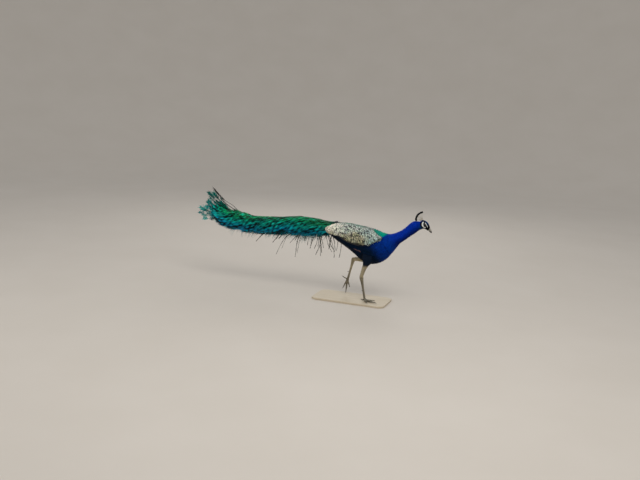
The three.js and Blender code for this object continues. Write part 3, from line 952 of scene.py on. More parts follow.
def trainPaint(along, angle):
    high = (1 + np.cos(angle)) / 2
    around = np.stack([along * 1.0, np.sin(angle) * 90, np.cos(angle) * 60], -1)
    lumps = ripple(around, 90, 81)
    down = np.abs(angle) * 62  # the barbs sweep down and back, and so do their streaks
    lengthwise, crosswise = along * 0.87 + down * 0.5, along * 0.5 - down * 0.87

    def streaks(stretch, apart, size, seed):  # long lumps, other ones on the train's other side
        return ripple(np.stack([lengthwise / stretch, crosswise, np.sign(angle) * apart], -1), size, seed)

    streak, fine, broad = streaks(2.8, 40, 10, 82), streaks(2, 60, 5, 85), streaks(4, 90, 26, 86)
    level = high + lumps * 0.06 + streak * 0.05 + broad * 0.05 + 0.13 * ease(along, 480, 160)
    # painted shade: dark patches at mid height of the train, and near its front under the body
    paintedShade = ease(np.abs(high - 0.55), 0.3, 0.06) * ease(lumps * 0.6 - broad * 0.6 - streak * 0.5, 0.2, 1.0)
    front = ease(along, 330, 60) * ease(broad + streak * 0.6, 0.1, 1.1) * ease(high, 0.2, 0.5)
    paintedShade = np.maximum(paintedShade, front)
    colour = paint(0, 54, 72)
    for tone, share in (
        ((0, 100, 132), ease(level, 0.04, 0.2)),
        ((0, 112, 124), ease(level, 0.26, 0.42)),
        ((0, 102, 90), ease(level, 0.46, 0.6)),
        ((2, 114, 70), ease(level, 0.68, 0.94)),
        ((0, 132, 122), ease(along, 860, 1010) * 0.6),
        # painted highlight: bright teal glints along the streaks
        ((12, 164, 146), ease(streaks(2.6, 20, 9, 88), 0.45, 1.3) * 0.5),
        # the painted shade's dark brown
        ((22, 36, 14), paintedShade * 0.88),
        ((2, 98, 92), ease(along, 110, 20) * 0.5),
    ):
        colour = blend(colour, paint(*tone), share)
    # brightness by streaks: partly the barbs' own clumped streaks, partly painted highlight, stronger towards
    # the far end
    far = ease(along, 640, 900)
    bright = 1.0 + streak * (1.2 + 0.3 * far) + fine * 0.5 + broad * 0.4
    return colour * np.clip(bright, 0.07, 3.2)[..., None]


def ribbons(name, paths, sides, widths, shades, seed, chartAt):
    # paths: strand, row, place; sides: which way each strand is broad; widths: half width at each row
    count, rows = paths.shape[:2]
    edges = np.array([-1.0, 1.0])
    grid = paths[:, :, None] + sides[:, :, None] * widths[..., None, None] * edges[:, None]
    us = np.linspace(-0.5, 0.5, rows)
    baked = chartAt[:, None, None] + crossed(us, edges / 2) * bakePatch
    salt = np.random.default_rng(seed).integers(0, 40, count)[:, None, None] * 3.0
    vane = np.stack(np.broadcast_arrays(us[None, :, None] + 0.5 + salt, edges[None, None]), -1)
    colours = np.broadcast_to(shades[:, :, None], (*grid.shape[:3], 3))
    return gridPiece(name, grid, colours, baked, vane)


def broadside(paths, outward):  # across each strand, flat to the surface it lies on
    return unit(np.cross(outward, unit(np.gradient(paths, axis=1))))


trainLook = {
    "feathers": 150, "barbEvery": 3.4, "barbLong": 62, "barbShort": 40, "lean": 0.52, "width": 0.95,
    "deepest": 9, "parts": 4, "shade": [0.62, 0.85, 1.05, 1.12, 0.95], "taper": [0.8, 1.0, 0.9, 0.65, 0.12],
}


def trainOut(along, angle):
    return unit(trainAt(along, angle, -4.0) - trainAt(along, angle, 4.0))


def trainPlumes():
    random = np.random.default_rng(83)
    barbs = []
    for i in range(trainLook["feathers"]):
        angle = (i * 2.39996 + random.uniform(-0.1, 0.1)) % math.tau - math.pi
        start = random.uniform(-20, 260)
        end = min(trainLength - 60, start + random.uniform(260, 900))
        if i % 3 == 0:
            end = trainLength - random.uniform(46, 150)
        sink = random.uniform(1.0, trainLook["deepest"])
        along = np.arange(start, end, trainLook["barbEvery"]) + random.uniform(0, 3)
        for side in (-1, 1):
            barbs.append(np.stack([
                along, np.full(len(along), angle), np.full(len(along), side), np.full(len(along), sink),
                np.clip((end - along) / 90, 0.25, 1) * np.clip((along - start) / 60 + 0.4, 0.4, 1),
            ], 1))
    barbs = np.concatenate(barbs)
    return barbs[random.permutation(len(barbs))]


def trainBarbs():
    random = np.random.default_rng(84)
    along, angle, side, sink, size = trainPlumes().T
    count = len(along)
    downward = side * np.sign(angle) > 0  # the barbs that lean away from the train's ridge hang longer
    length = np.where(downward, trainLook["barbLong"], trainLook["barbShort"]) * size
    length = length * random.uniform(0.7, 1.25, count)
    lean = trainLook["lean"] * np.where(downward, 1.0, 0.75) * random.uniform(0.7, 1.3, count)
    rows = np.linspace(0, 1, 5)
    lengthwise = along[:, None] * np.array([[1.0, 0, 0]])
    raised = (ripple(lengthwise, 30, 89) > 0.3) * random.random(count)
    frayed = (ripple(lengthwise, 24, 92) > -0.2) * random.random(count) * ease(np.abs(angle), 2.2, 2.7)
    glow = np.clip(1 + random.normal(0, 0.25, count), 0.4, 1.7)[:, None] * (1 + 0.9 * frayed)[:, None]
    paths, shades = [], []
    here, turn = along.copy(), angle.copy()
    for i, u in enumerate(rows):
        if i:
            bend = lean * (1.25 - 0.55 * u)
            here = np.minimum(here + np.cos(bend) * length / 4, trainLength - 1)
            turn = turn + side * np.sin(bend) * length / 4 / np.maximum(trainGirth(here, turn), 14)
        loose = raised * ease(np.abs(angle), 0.9, 0.2) * (5 + 13 * ease(along, 640, 760))
        loose = loose + frayed * 20
        lift = sink * (1 - 0.75 * u) - 1.2 * u * random.random(count) + 0.6 - loose * u**1.5
        paths.append(trainAt(here, turn, lift))
        shades.append(trainPaint(here, turn) * glow * trainLook["shade"][i])
    paths = np.stack(paths, 1)
    outward = np.repeat(trainOut(along, angle)[:, None], 5, 1)
    twist = random.normal(0, 0.35, count)[:, None, None]
    sides = broadside(paths, outward)
    sides = unit(sides + outward * twist)
    thick = trainLook["width"] * random.uniform(0.7, 1.3, count)[:, None] * np.array(trainLook["taper"])
    shades = np.stack(shades, 1)
    return paths, sides, thick, shades, mapSpot(along / trainLength, angle)


strandSilk = featherFinish("trainFeather", 7.0, 0.22, 0.00012, 0.45, Metallic=0.4, Specular_IOR_Level=0.12)
paths, sides, thick, shades, spot = trainBarbs()
pieceCount = trainLook["parts"]
replacedBy = {0: ["train_base"], 1: ["train_middle"], 2: ["train_end"]}
for part in range(pieceCount):
    some = slice(part, None, pieceCount)
    rows = (values[some] for values in (paths, sides, thick, shades))
    piece = ribbons("trainBarbs_%d" % (part + 1), *rows, 90 + part, spot[some])
    finishPiece(piece, replacedBy.get(part, []), strandSilk)
print("train barbs:", len(paths))


# the train's end feathers, loose shafts and hanging strands
tipLook = {
    "fan": [-1060, 470], "spread": 40, "more": 40, "first": 112, "sweep": 84, "barb": 0.8, "vane": 22.0,
    "loose": 7.0, "tip": 27.0, "lean": 0.74,
}
tipFeathers = [
    [121, 176], [124, 150], [126, 190], [128, 168], [130, 186], [133, 156], [136, 178], [140, 148],
    [149, 150], [154, 170], [159, 142], [164, 164], [168, 190], [171, 158], [175, 206], [178, 182],
    [182, 150], [186, 178], [193, 156], [199, 138],
]  # each fishtail's angle above the forward level and its reach
looseShafts = [
    [[-950, 500], [-1050, 553], [-1102, 606], [-1157, 665]],
    [[-958, 506], [-1000, 541], [-1066, 573], [-1142, 640]],
]  # x, z from root to tip
fringeLook = {
    "strands": 360, "front": -190, "rear": -980, "shortest": 16, "longest": 46, "thick": 0.95,
    "taper": [1.0, 1.0, 1.0, 0.9, 0.7, 0.45, 0.1],
}
hangingStrands = [
    [[-206, 424], [-200, 377], [-200, 313], [-207, 257]],
    [[-275, 412], [-249, 359], [-232, 283], [-234, 264]],
    [[-336, 404], [-329, 331], [-326, 263]], [[-345, 400], [-355, 321], [-377, 260]],
    [[-290, 405], [-271, 340], [-248, 300]], [[-336, 402], [-322, 350], [-317, 291]],
    [[-425, 398], [-430, 360], [-434, 322]], [[-470, 398], [-493, 350], [-508, 235]],
    [[-478, 398], [-512, 368], [-545, 330]], [[-560, 394], [-612, 334], [-662, 231]],
    [[-735, 384], [-769, 346], [-800, 312]], [[-250, 420], [-262, 366], [-270, 318]],
    [[-395, 400], [-404, 352], [-418, 300]], [[-620, 388], [-650, 350], [-676, 318]],
]  # x, z of the loose strands under the train


def plumeAlong(line, places, barb, lean, flat, seed, jitter=0.15):
    # a shaft's points and the barbs on both sides of it: barb length and lean for each place along it
    random = np.random.default_rng(seed)
    at = spline(line, places)
    near = 0.01
    way = unit(spline(line, np.minimum(places + near, 1)) - spline(line, np.maximum(places - near, 0)))
    side = unit(np.cross(way, flat))
    paths = []
    for turn in (-1, 1):
        tilt = lean * (1 + random.normal(0, jitter, len(places)))
        length = barb * (1 + random.normal(0, jitter, len(places)))
        spot, rows = at.copy(), [at]
        for i in range(3):
            bend = tilt * (1.15 - 0.3 * i)
            step = way * np.cos(bend)[:, None] + side * (turn * np.sin(bend))[:, None]
            wave = flat * (random.normal(0, 0.1, len(places)) * (i + 1))[:, None]
            spot = spot + unit(step + wave) * (length / 3)[:, None]
            rows.append(spot)
        paths.append(np.stack(rows, 1))
    return np.concatenate(paths)


def joinedStops(*stops):  # places along a line: a first, a last and a count for each stretch
    return np.concatenate([np.linspace(*stop) for stop in stops])


def trainSpots(roots):  # where on the map the loose feathers go by their roots
    return mapSpot((roots[:, 0] + 1250) / 1700, np.arctan2(roots[:, 1], roots[:, 2] - 450))


def endPlumes():
    random = np.random.default_rng(101)
    paths, tones, shafts, fans = [], [], [], []
    for i, (angle, reach) in enumerate(tipFeathers):
        fans.append((angle, reach, tipLook["spread"] * math.sin(i * 2.4), 1.0))
    for i in range(tipLook["more"]):
        share = (i + 0.5) / tipLook["more"]
        angle = tipLook["first"] + tipLook["sweep"] * share + random.uniform(-3, 3)
        reach = random.uniform(78, 126) - 16 * max(0.0, share - 0.6) / 0.4
        fans.append((angle, reach, random.uniform(-40, 40), random.uniform(0.6, 0.9)))
    for i, (angle, reach, aside, size) in enumerate(fans):
        turn = math.radians(angle)
        fanX, fanZ = tipLook["fan"]
        tip = np.array([fanX + reach * math.cos(turn), aside, fanZ + reach * math.sin(turn)])
        down = (angle - tipLook["first"]) / tipLook["sweep"]
        root = np.array([-1030.0 + 24 * (1 - size), aside * 0.5, 492 - 50 * down])
        middle = (root + tip) / 2 + np.array([-5.0, 0, -7.0]) * math.cos(turn + 2.4)
        line = np.array([root, middle, tip])
        # the vane is full near the root, loose further out, and full again at the forked tip
        places = joinedStops((0.05, 0.5, 24), (0.54, 0.74, 7), (0.76, 0.95, 25))
        outer = np.where(places < 0.72, tipLook["loose"], tipLook["tip"] - 13 * (places - 0.72) / 0.23)
        barb = np.where(places < 0.5, tipLook["vane"], outer) * size * random.uniform(0.7, 1.15)
        if size < 0.95:
            barb = 24 * size * np.sqrt(np.clip((1.02 - places) * 2.2, 0.05, 1))
        lean = tipLook["lean"] - 0.14 * ease(places, 0.7, 0.95)
        flat = unit(np.array([random.normal(0, 0.25), 1.0, random.normal(0, 0.25)]))
        paths.append(plumeAlong(line, places, barb, lean, flat, 110 + i, 0.32))
        tone = blend(paint(16, 170, 160), paint(0, 78, 92), random.uniform(0.0, 1.0))
        tone = blend(tone, paint(0, 118, 78), ease(angle, 150, 125) * 0.3)
        tone = blend(tone[None], paint(10, 50, 52), ease(np.abs(places - 0.64), 0.13, 0.08) * 0.7)
        tones.append(np.concatenate([tone, tone]) * random.uniform(0.45, 1.5, (2 * len(places), 1)))
        shafts.append(line)
    return np.concatenate(paths), np.concatenate(tones), shafts


def shaftRods(name, lines, radii, tones, sections=12, sides=4):
    # thin round rods along lines, each closed at its tip
    rings, colours = [], []
    for line, radius, tone in zip(lines, radii, tones):
        at = spline(line, np.linspace(0, 1, sections))
        way = unit(np.gradient(at, axis=0))
        aside = unit(np.cross(way, np.array([0.05, 1.0, 0.1])))
        over = np.cross(aside, way)
        turns = np.arange(sides + 1) * math.tau / sides
        thick = radius * np.linspace(1, 0.25, sections)[:, None, None]
        thick[0] = thick[-1] = 0.02
        ring = aside[:, None] * np.cos(turns)[None, :, None] + over[:, None] * np.sin(turns)[None, :, None]
        rings.append(at[:, None] + ring * thick)
        colours.append(np.broadcast_to(tone, (sections, sides + 1, 3)))
    rings, colours = np.array(rings), np.array(colours)
    cell = crossed(np.linspace(-0.5, 0.5, sections), np.linspace(-0.5, 0.5, sides + 1)) * bakePatch
    baked = trainSpots(rings[:, 0, 0])[:, None, None] + cell
    return gridPiece(name, rings, colours, baked, baked, True)


def fringe():  # short loose barbs that hang from the train's lower side
    random = np.random.default_rng(136)
    count = fringeLook["strands"]
    share = np.where(np.arange(count) % 3 == 0, random.uniform(0, 1, count), random.beta(1.6, 3.2, count))
    share = np.clip(share + 0.025 * np.sin(share * 95), 0, 1)  # they hang in loose bunches
    x = fringeLook["front"] + (fringeLook["rear"] - fringeLook["front"]) * share
    along = np.interp(-x, -trainMiddle[:, 0], trainReach)
    angle = np.sign(random.uniform(-1, 1, count)) * random.uniform(1.9, 3.0, count)
    length = random.uniform(fringeLook["shortest"], fringeLook["longest"], count)
    length = length * (1 + 0.45 * ease(np.abs(x + 420), 80, 20))
    back = random.uniform(0.25, 1.1, count)
    root = trainAt(along, angle, 8.0)
    rows = [root]
    for i in range(1, 7):
        u = i / 6
        drop = np.stack([-back * u, 0 * back, 0 * back - (0.5 + 0.5 * u) * u], -1)
        drop = drop * (length + 14)[:, None]
        curl = np.stack([np.sin(u * 3 + angle * 7), np.cos(u * 2 + angle * 5), 0 * angle], -1) * (3.0 * u)
        rows.append(root + drop + curl)
    tone = blend(paint(0, 124, 132), paint(16, 66, 58), random.random(count))
    return np.stack(rows, 1), tone * random.uniform(0.5, 1.3, (count, 1))


def loosePlumes():
    random = np.random.default_rng(131)
    paths, tones, lines = [], [], []
    for i, line in enumerate(looseShafts):
        y = 14 * i - 10
        line = np.array([[x, y, z] for x, z in line], float)
        places = joinedStops((0.02, 0.1, 14), (0.14, 0.6, 20), (0.6, 0.9, 44))
        barb = np.where(np.abs(places - 0.72) < 0.1, 22.0, np.where(places < 0.12, 12.0, 7.0))
        barb = barb * (1.0 - 0.3 * i)
        flat = unit(np.array([0.2, 1.0, 0.3]))
        paths.append(plumeAlong(line, places, barb, np.full(len(places), 0.26), flat, 140 + i, 0.25))
        tones.append(np.broadcast_to(paint(10, 14, 12), (2 * len(places), 3)))
        lines.append(line)
    for i, line in enumerate(line for line in hangingStrands for _ in range(2)):
        y = random.uniform(-46, -18) if i % 3 else random.uniform(4, 44)
        if i % 2:  # each strand has a shorter one beside it
            short = random.uniform(0.55, 0.9)
            turn = random.uniform(-16, 16)
            topX, topZ = line[0]
            line = [
                [topX + (x - topX) * short + turn * (0.4 + k * 0.4), topZ + (z - topZ) * short]
                for k, (x, z) in enumerate(line)
            ]
        lean = (line[0][0] - line[1][0]) * 0.3
        points = [[line[0][0] + lean, y * 0.9, line[0][1] + 26]]
        points += [[x, y * (1 - 0.15 * k), z] for k, (x, z) in enumerate(line)]
        line = np.array(points, float)
        places = np.linspace(0.08, 0.98, int(reachOf(line)[-1] / 2.6))
        barb = (11 - 6 * places) * random.uniform(0.7, 1.2)
        flat = unit(np.array([random.normal(0, 0.5), 1.0, random.normal(0, 0.3)]))
        paths.append(plumeAlong(line, places, barb, np.full(len(places), 0.24), flat, 150 + i, 0.45))
        tone = blend(paint(0, 98, 100), paint(38, 44, 34), ease(places, 0.2, 0.45))
        tones.append(np.concatenate([tone, tone]) * random.uniform(0.6, 1.3, (2 * len(places), 1)))
        lines.append(line)
    return np.concatenate(paths), np.concatenate(tones), lines


def allAlong(paths, axis):  # one direction at every place
    outward = np.zeros_like(paths)
    outward[..., axis] = 1
    return outward


paths, tones, endShafts = endPlumes()
loosePaths, looseTones, looseLines = loosePlumes()
paths, tones = np.concatenate([paths, loosePaths]), np.concatenate([tones, looseTones])
outward = unit(allAlong(paths, 1) + np.random.default_rng(132).normal(0, 0.3, (len(paths), 1, 3)))
slim = np.concatenate([np.full(len(paths) - len(loosePaths), tipLook["barb"]), np.full(len(loosePaths), 1.0)])
thick = slim[:, None] * np.array([0.8, 1.0, 0.8, 0.15])
shades = tones[:, None] * np.array([0.7, 1.0, 1.1, 1.0])[None, :, None]
sides = broadside(paths, outward)
trainTips = ribbons("trainTips", paths, sides, thick, shades, 133, trainSpots(paths[:, 0]))
finishPiece(trainTips, ["train_end"], strandSilk)
hanging, hangingTone = fringe()
thick = np.tile(fringeLook["thick"] * np.array(fringeLook["taper"]), (len(hanging), 1))
shades = hangingTone[:, None] * np.linspace(0.7, 1.1, 7)[None, :, None]
spot = trainSpots(hanging[:, 0])
spot[:, 1] = np.linspace(0.04, 0.08, len(hanging))
sides = broadside(hanging, allAlong(hanging, 1))
trainFringe = ribbons("trainFringe", hanging, sides, thick, shades, 137, spot)
finishPiece(trainFringe, [], strandSilk)
rodTone, rodSize = [], []
hungStrands = 2 * len(hangingStrands)
for amount, tone, sizes in (
    (len(endShafts), (40, 50, 42), [0.8]), (1, (22, 20, 16), [3.0, 2.4]), (hungStrands, (52, 50, 38), [1.1]),
):
    rodTone += [paint(*tone)] * (amount * len(sizes))
    rodSize += sizes * amount
rods = shaftRods("trainShafts", endShafts + looseLines, rodSize, rodTone)
shaftHorn = plainFinish("shaftHorn", 0.004, 3.0, 0.8, 0.4, 0.4, 0.2, 0.0001)
finishPiece(rods, [], shaftHorn)

# the inner layer that fills the train below its barbs, in the train's colours darkened to painted shade
coreAlong, coreAngle = np.moveaxis(
    crossed(np.linspace(4, trainLength - 112, 150), np.linspace(-math.pi, math.pi, 49)), -1, 0
)
coreSpots = trainAt(coreAlong, coreAngle, 10 + 2.5 * np.sin(coreAlong / 17) * np.sin(coreAngle * 5))
coreSpots[:, -1] = coreSpots[:, 0]
coreSpots[0], coreSpots[-1] = coreSpots[0].mean(0), coreSpots[-1].mean(0)
# painted shade: the train's own colours at 0.3
coreShadeTone = trainPaint(coreAlong.ravel(), coreAngle.ravel()) * 0.3
coreMap = mapSpot(coreAlong / trainLength, coreAngle)
core = gridPiece("trainCore", coreSpots[None], coreShadeTone, coreMap, coreMap)
finishPiece(core, [], downy)

# the eyed feathers lie over the train's far side
ocellusLook = {
    "count": 18, "reach": 21, "wide": 15, "ridge": 0.3, "every": 1.6, "lean": 0.72, "thick": 0.85,
    "taper": [0.8, 1, 1, 1, 0.9, 0.7, 0.15],
}


def eyeTones(distance, notch):  # from the dark heart out to the green vane
    colour = np.broadcast_to(paint(6, 12, 76), (*distance.shape, 3))
    for tone, at, low, high in (
        ((0, 104, 118), np.maximum(distance, notch), 0.2, 0.27), ((104, 70, 32), distance, 0.38, 0.46),
        ((70, 88, 34), distance, 0.6, 0.68), ((4, 92, 52), distance, 0.78, 1.0),
    ):
        colour = blend(colour, paint(*tone), ease(at, low, high))
    return colour


def ocelli():
    random = np.random.default_rng(141)
    paths, tones, spots = [], [], []
    lean = ocellusLook["lean"]
    for i in range(ocellusLook["count"]):
        share = (i + 0.5) / ocellusLook["count"]
        along = 60 + (trainLength - 260) * share + random.uniform(-8, 8)
        angle = 0.85 + ocellusLook["ridge"] * math.sin(i * 2.4) + random.normal(0, 0.03)
        size = 0.75 + 0.25 * share
        stem = np.arange(-ocellusLook["reach"] * 1.3, ocellusLook["reach"] * 0.8, ocellusLook["every"]) * size
        girth = trainGirth(np.array(along), np.array(angle))
        for side in (-1, 1):
            count = len(stem)
            here, off, rows, shades = stem.copy(), np.zeros(count), [], []
            wide = ocellusLook["wide"] * size * np.sqrt(np.clip(1.15 - (stem / size / 28) ** 2, 0.1, 1))
            step = wide / math.sin(lean) / 6 * random.uniform(0.85, 1.12, count)
            for row in range(7):
                distance = np.hypot(here / 19, off / 13.5) / size
                notch = np.hypot((here - 3 * size) / 19, off / 13.5) / size
                depth = -0.5 - 0.5 * row / 6 - 0.4 * random.random(count)
                rows.append(trainAt(along + here, angle + side * off / girth, depth))
                shades.append(eyeTones(distance, notch) * random.uniform(0.75, 1.15, count)[:, None])
                here = here + np.cos(lean) * step
                off = off + np.sin(lean) * step
            paths.append(np.stack(rows, 1))
            tones.append(np.stack(shades, 1))
            spots.append(mapSpot((along + stem) / trainLength, angle))
    paths, tones, spots = (np.concatenate(values) for values in (paths, tones, spots))
    outward = unit(allAlong(paths, 2) + random.normal(0, 0.12, (len(paths), 1, 3)))
    thick = np.tile(ocellusLook["thick"] * np.array(ocellusLook["taper"]), (len(paths), 1))
    return ribbons("trainEyes", paths, broadside(paths, outward), thick, tones, 142, spots)


finishPiece(ocelli(), [], strandSilk)

# the crest
crestLook = {
    "feathers": 24, "root": [343, 0, 563], "first": 97, "last": 181, "longest": 57, "shortest": 44,
    "tipWide": 4.8, "tipLong": 13.2, "shape": [0.1, 0.5, 0.86, 1.0, 0.96, 0.7, 0.12],
}


def crestPieces():
    random = np.random.default_rng(161)
    lines, grids, tones = [], [], []
    for i in range(crestLook["feathers"]):
        share = i / (crestLook["feathers"] - 1)
        angle = crestLook["first"] + (crestLook["last"] - crestLook["first"]) * share
        turn = math.radians(angle + random.uniform(-1, 1))
        length = crestLook["longest"] + (crestLook["shortest"] - crestLook["longest"]) * share
        length = length + random.uniform(-1.5, 1)
        way = np.array([math.cos(turn), 0.06 * (-1) ** i, math.sin(turn)])
        root = np.array(crestLook["root"], float) - way * 2
        tip = root + way * (length + 3)
        across = np.array([-math.sin(turn), 0, math.cos(turn)])
        sag = across * random.uniform(-1.6, 1.6)
        lines.append(np.array([root, (root + tip) / 2 + sag, tip]))
        us = np.linspace(0, 1, 7)
        half = crestLook["tipWide"] * np.array(crestLook["shape"])
        at = tip + way * (us * crestLook["tipLong"] - 10)[:, None]
        vs = np.linspace(-1, 1, 5)
        cup = np.array([0, 1.0, 0]) * ((vs**2) * 0.8 * (-1) ** i)[:, None]
        grids.append(at[:, None] + across * (half[:, None] * vs)[..., None] + cup[None])
        tone = blend(paint(4, 30, 46), paint(2, 42, 46), random.random()) * random.uniform(0.16, 0.36)
        tones.append(np.broadcast_to(tone * (0.5 + 0.6 * us)[:, None, None], (7, 5, 3)))
    return lines, np.array(grids), np.array(tones)


lines, grids, tones = crestPieces()
count = len(grids)
cell = crossed(np.linspace(-0.5, 0.5, 7), np.linspace(-0.5, 0.5, 5))
baked = mapSpot(np.arange(count) / count, 0.0)[:, None, None] + cell * 0.02
vane = np.broadcast_to(cell * np.array([1, 2]) + np.array([0.5, 0]), (count, 7, 5, 2))
crest = gridPiece("crestTips", grids, tones, baked, vane)
finishPiece(crest, ["crest"], scaly)
crestRods = shaftRods("crestShafts", lines, [0.42] * count, [paint(150, 140, 118)] * count, 8)
finishPiece(crestRods, [], shaftHorn)
print("train and crest done")


# bill
def smoothCopy(name, sources, voxel, rounds, extra=None):
    shape = bmesh.new()
    for source in sources:
        part = mergedCopy(source)
        if extra:
            extra(part)
        addShape(shape, part)
    piece = pieceFrom(name, shape)
    revoxeled(piece, voxel)
    spots = relax(spotsOf(piece.data), edgesOf(piece.data), np.full(len(piece.data.vertices), 0.5), rounds)
    setSpots(piece.data, spots)
    setSmooth(piece.data)
    return piece


billLook = {
    "voxel": 0.0006, "root": 34.5, "rootIn": 7, "nostril": [41, 4.2], "nostrilLong": 5.2, "nostrilHigh": 1.5,
    "deep": 1.5,
}


def rootsDrawnIn(part):  # the bill's base goes on under the skin
    for vertex in part.verts:
        spot = toBird(vertex.co)
        forward = float((spot - eyeLevel) @ headForward)
        if forward < billLook["root"]:
            vertex.co = Vector(toRow(spot - headForward * billLook["rootIn"]))


def upperSculpt(spots, normals):
    forward, up, aside = headPlaces(spots)
    ahead, above = forward - billLook["nostril"][0], up - billLook["nostril"][1]
    hole = ((ahead + above * 0.5) / billLook["nostrilLong"]) ** 2
    hole = hole + ((above + ahead * 0.16) / billLook["nostrilHigh"]) ** 2
    dent = ease(hole, 1.1, 0.35) * ease(np.abs(aside), 2.0, 3.5)
    lip = ease(hole, 2.6, 1.2) * ease(hole, 0.8, 1.3) * ease(np.abs(aside), 2.0, 3.5)
    cere = ease(forward, 40, 35) * 0.35
    groove = ease(np.abs(up - 1.0 + (forward - 38) * 0.06), 0.9, 0.2)
    groove = groove * ease(forward, 36, 40) * ease(forward, 58, 50)
    return spots + normals * (lip * 0.35 - dent * billLook["deep"] + cere - groove * 0.28)[:, None]


def lowerSculpt(spots, normals):  # the lower bill's upper face closes against the upper bill
    forward, up, aside = headPlaces(spots)
    return spots + headUp * (ease(normals @ headUp, 0.1, 0.6) * (1.0 + 0.5 * ease(forward, 44, 34)))[:, None]


def billFinish(start):
    streak = stretched(start, (160, 900, 900), detail=4.0, turn=-headPitch)
    blotch = grain(start, 0.007, 3.0)
    tipLow, tipHigh = (float(toRow(headPoint(forward, 0, 0))[2]) for forward in (61, 36))
    base = objectPlace(start).part(2).between(tipLow, tipHigh)
    colour = base.pick(tint(62, 58, 53), tint(168, 164, 152))
    colour = ((streak * 0.6 + blotch * 0.4).between(0.38, 0.8) * 0.4).pick(colour, tint(84, 76, 66))
    x, z = offsetFrom(start, headPoint(*billLook["nostril"], 0))
    ahead, above = (x * float(way[0]) + z * float(way[2]) for way in (headForward, headUp))
    lengthwise = ahead * (1000 / billLook["nostrilLong"])
    crosswise = above * (1000 / billLook["nostrilHigh"]) + lengthwise * 0.5
    slit = (lengthwise * lengthwise + crosswise * crosswise).between(1.1, 0.5)
    colour = (slit * 0.9).pick(colour, tint(14, 12, 12))
    return {
        "Base_Color": colour, "Roughness": 0.36 + (blotch - 0.5) * 0.25,
        "height": (streak * 0.6 + blotch * 0.4, 0.00012),
    }


horn = material("billHorn", billFinish)
for name, source, sculpt in (
    ("billUpper", "bill_upper", upperSculpt), ("billLower", "bill_lower", lowerSculpt),
):
    bill = smoothCopy(name, [source], billLook["voxel"], 5, rootsDrawnIn)
    moved = sculpt(toBird(spotsOf(bill.data)), normalsOf(bill.data))
    moved = relax(moved, edgesOf(bill.data), np.full(len(moved), 0.4), 2)
    setSpots(bill.data, toRow(moved))
    finishPiece(bill, [source], horn)

# eyes and lids
eyeLook = {"radius": 7.2, "aside": 15.2, "up": 2.0, "pupil": 2.5, "iris": 4.9, "cornea": 4.6, "proud": 0.35}


def eyeFinish(start):
    x, z = offsetFrom(start, headPoint(0, eyeLook["up"], 0))
    ring = (x * x + z * z) ** 0.5 * 1000
    fan = start.node("CombineXYZ", None, X=start.math("ARCTAN2", z, x) * 5.0, Y=ring * 0.5)
    spokes = start.node("TexNoise", {"noise_dimensions": "2D"}, Vector=fan, Scale=2.2, Detail=3.0)
    iris = spokes.pick(tint(16, 8, 5), tint(52, 27, 14))
    iris = ring.between(eyeLook["iris"] - 1.0, eyeLook["iris"]).pick(iris, tint(12, 7, 6))
    pupil = ring.between(eyeLook["pupil"] - 0.2, eyeLook["pupil"] + 0.2)
    colour = pupil.pick((0.002, 0.002, 0.002, 1.0), iris)
    return {"Base_Color": colour, "Roughness": 0.12 + spokes * 0.06}


eyeGloss = material("eyeGloss", eyeFinish, Coat_Weight=0.22, Coat_Roughness=0.03, Specular_IOR_Level=0.05)
lidLook = {"wide": 5.3, "tall": 4.6, "reach": 2.6, "raise": 0.75, "sides": 64}


def eyeBall(side):
    shape = bmesh.new()
    centre = toRow(headPoint(0, eyeLook["up"], side * eyeLook["aside"]))
    turn = Matrix.Rotation(math.radians(90), 4, "X")
    bmesh.ops.create_uvsphere(
        shape, u_segments=40, v_segments=24, radius=eyeLook["radius"] / 1000,
        matrix=Matrix.Translation(centre) @ turn,
    )
    for vertex in shape.verts:  # the cornea stands a little proud
        offset = (vertex.co - Vector(centre)) * 1000
        ring = math.hypot(offset.x, offset.z)
        if offset.y * side > 0 and ring < eyeLook["cornea"]:
            vertex.co.y += side * eyeLook["proud"] / 1000 * (1 - (ring / eyeLook["cornea"]) ** 2)
    name = "left" if side > 0 else "right"
    piece = pieceFrom("eyeBall_" + name, shape)
    setSmooth(piece.data)
    finishPiece(piece, ["eye_" + name], eyeGloss)


def lidRing(side):
    sides, centre = lidLook["sides"], headPoint(0, eyeLook["up"], side * eyeLook["aside"])
    turns = np.linspace(0, math.tau, sides, endpoint=False)
    ways = headForward * np.cos(turns)[:, None] + headUp * np.sin(turns)[:, None]
    corner = 1 + 0.1 * np.abs(np.cos(turns)) ** 6
    tall = lidLook["tall"] * np.where(np.sin(turns) > 0, 0.92, 1.0)
    inner = corner / np.sqrt((np.cos(turns) / lidLook["wide"]) ** 2 + (np.sin(turns) / tall) ** 2)
    outer = inner + lidLook["reach"] + 0.5 * (np.sin(turns) > 0)
    outward = np.array([0, side, 0.0])

    def onBall(radius, lift):
        deep = np.sqrt(np.maximum((eyeLook["radius"] + lift) ** 2 - radius**2, 0))
        return centre + ways * radius[:, None] + outward * deep[:, None]

    edge = centre + ways * outer[:, None] + outward * 4.5
    rim, facing = onSkin(edge)
    brink = onBall(inner, 0.25)
    rows = [
        onBall(inner + 0.5, -0.5), brink, brink + outward * 0.42 + ways * 0.35,
        brink * 0.62 + rim * 0.38 + facing * lidLook["raise"] + outward * 0.2,
        brink * 0.25 + rim * 0.75 + facing * 0.35, rim - facing * 0.3,
    ]
    grid = np.stack(rows, 1)
    wrinkle = ripple(grid.reshape(-1, 3), 2.2, 171).reshape(grid.shape[:2])
    wrinkle = wrinkle * np.array([0, 0.04, 0.1, 0.16, 0.08, 0])
    grid = grid + outward * wrinkle[..., None]
    quads = stripFaces(1, sides + 1, 6) % (sides * 6)  # the last row of faces meets the first
    return grid.reshape(-1, 3), quads if side > 0 else quads[:, ::-1]


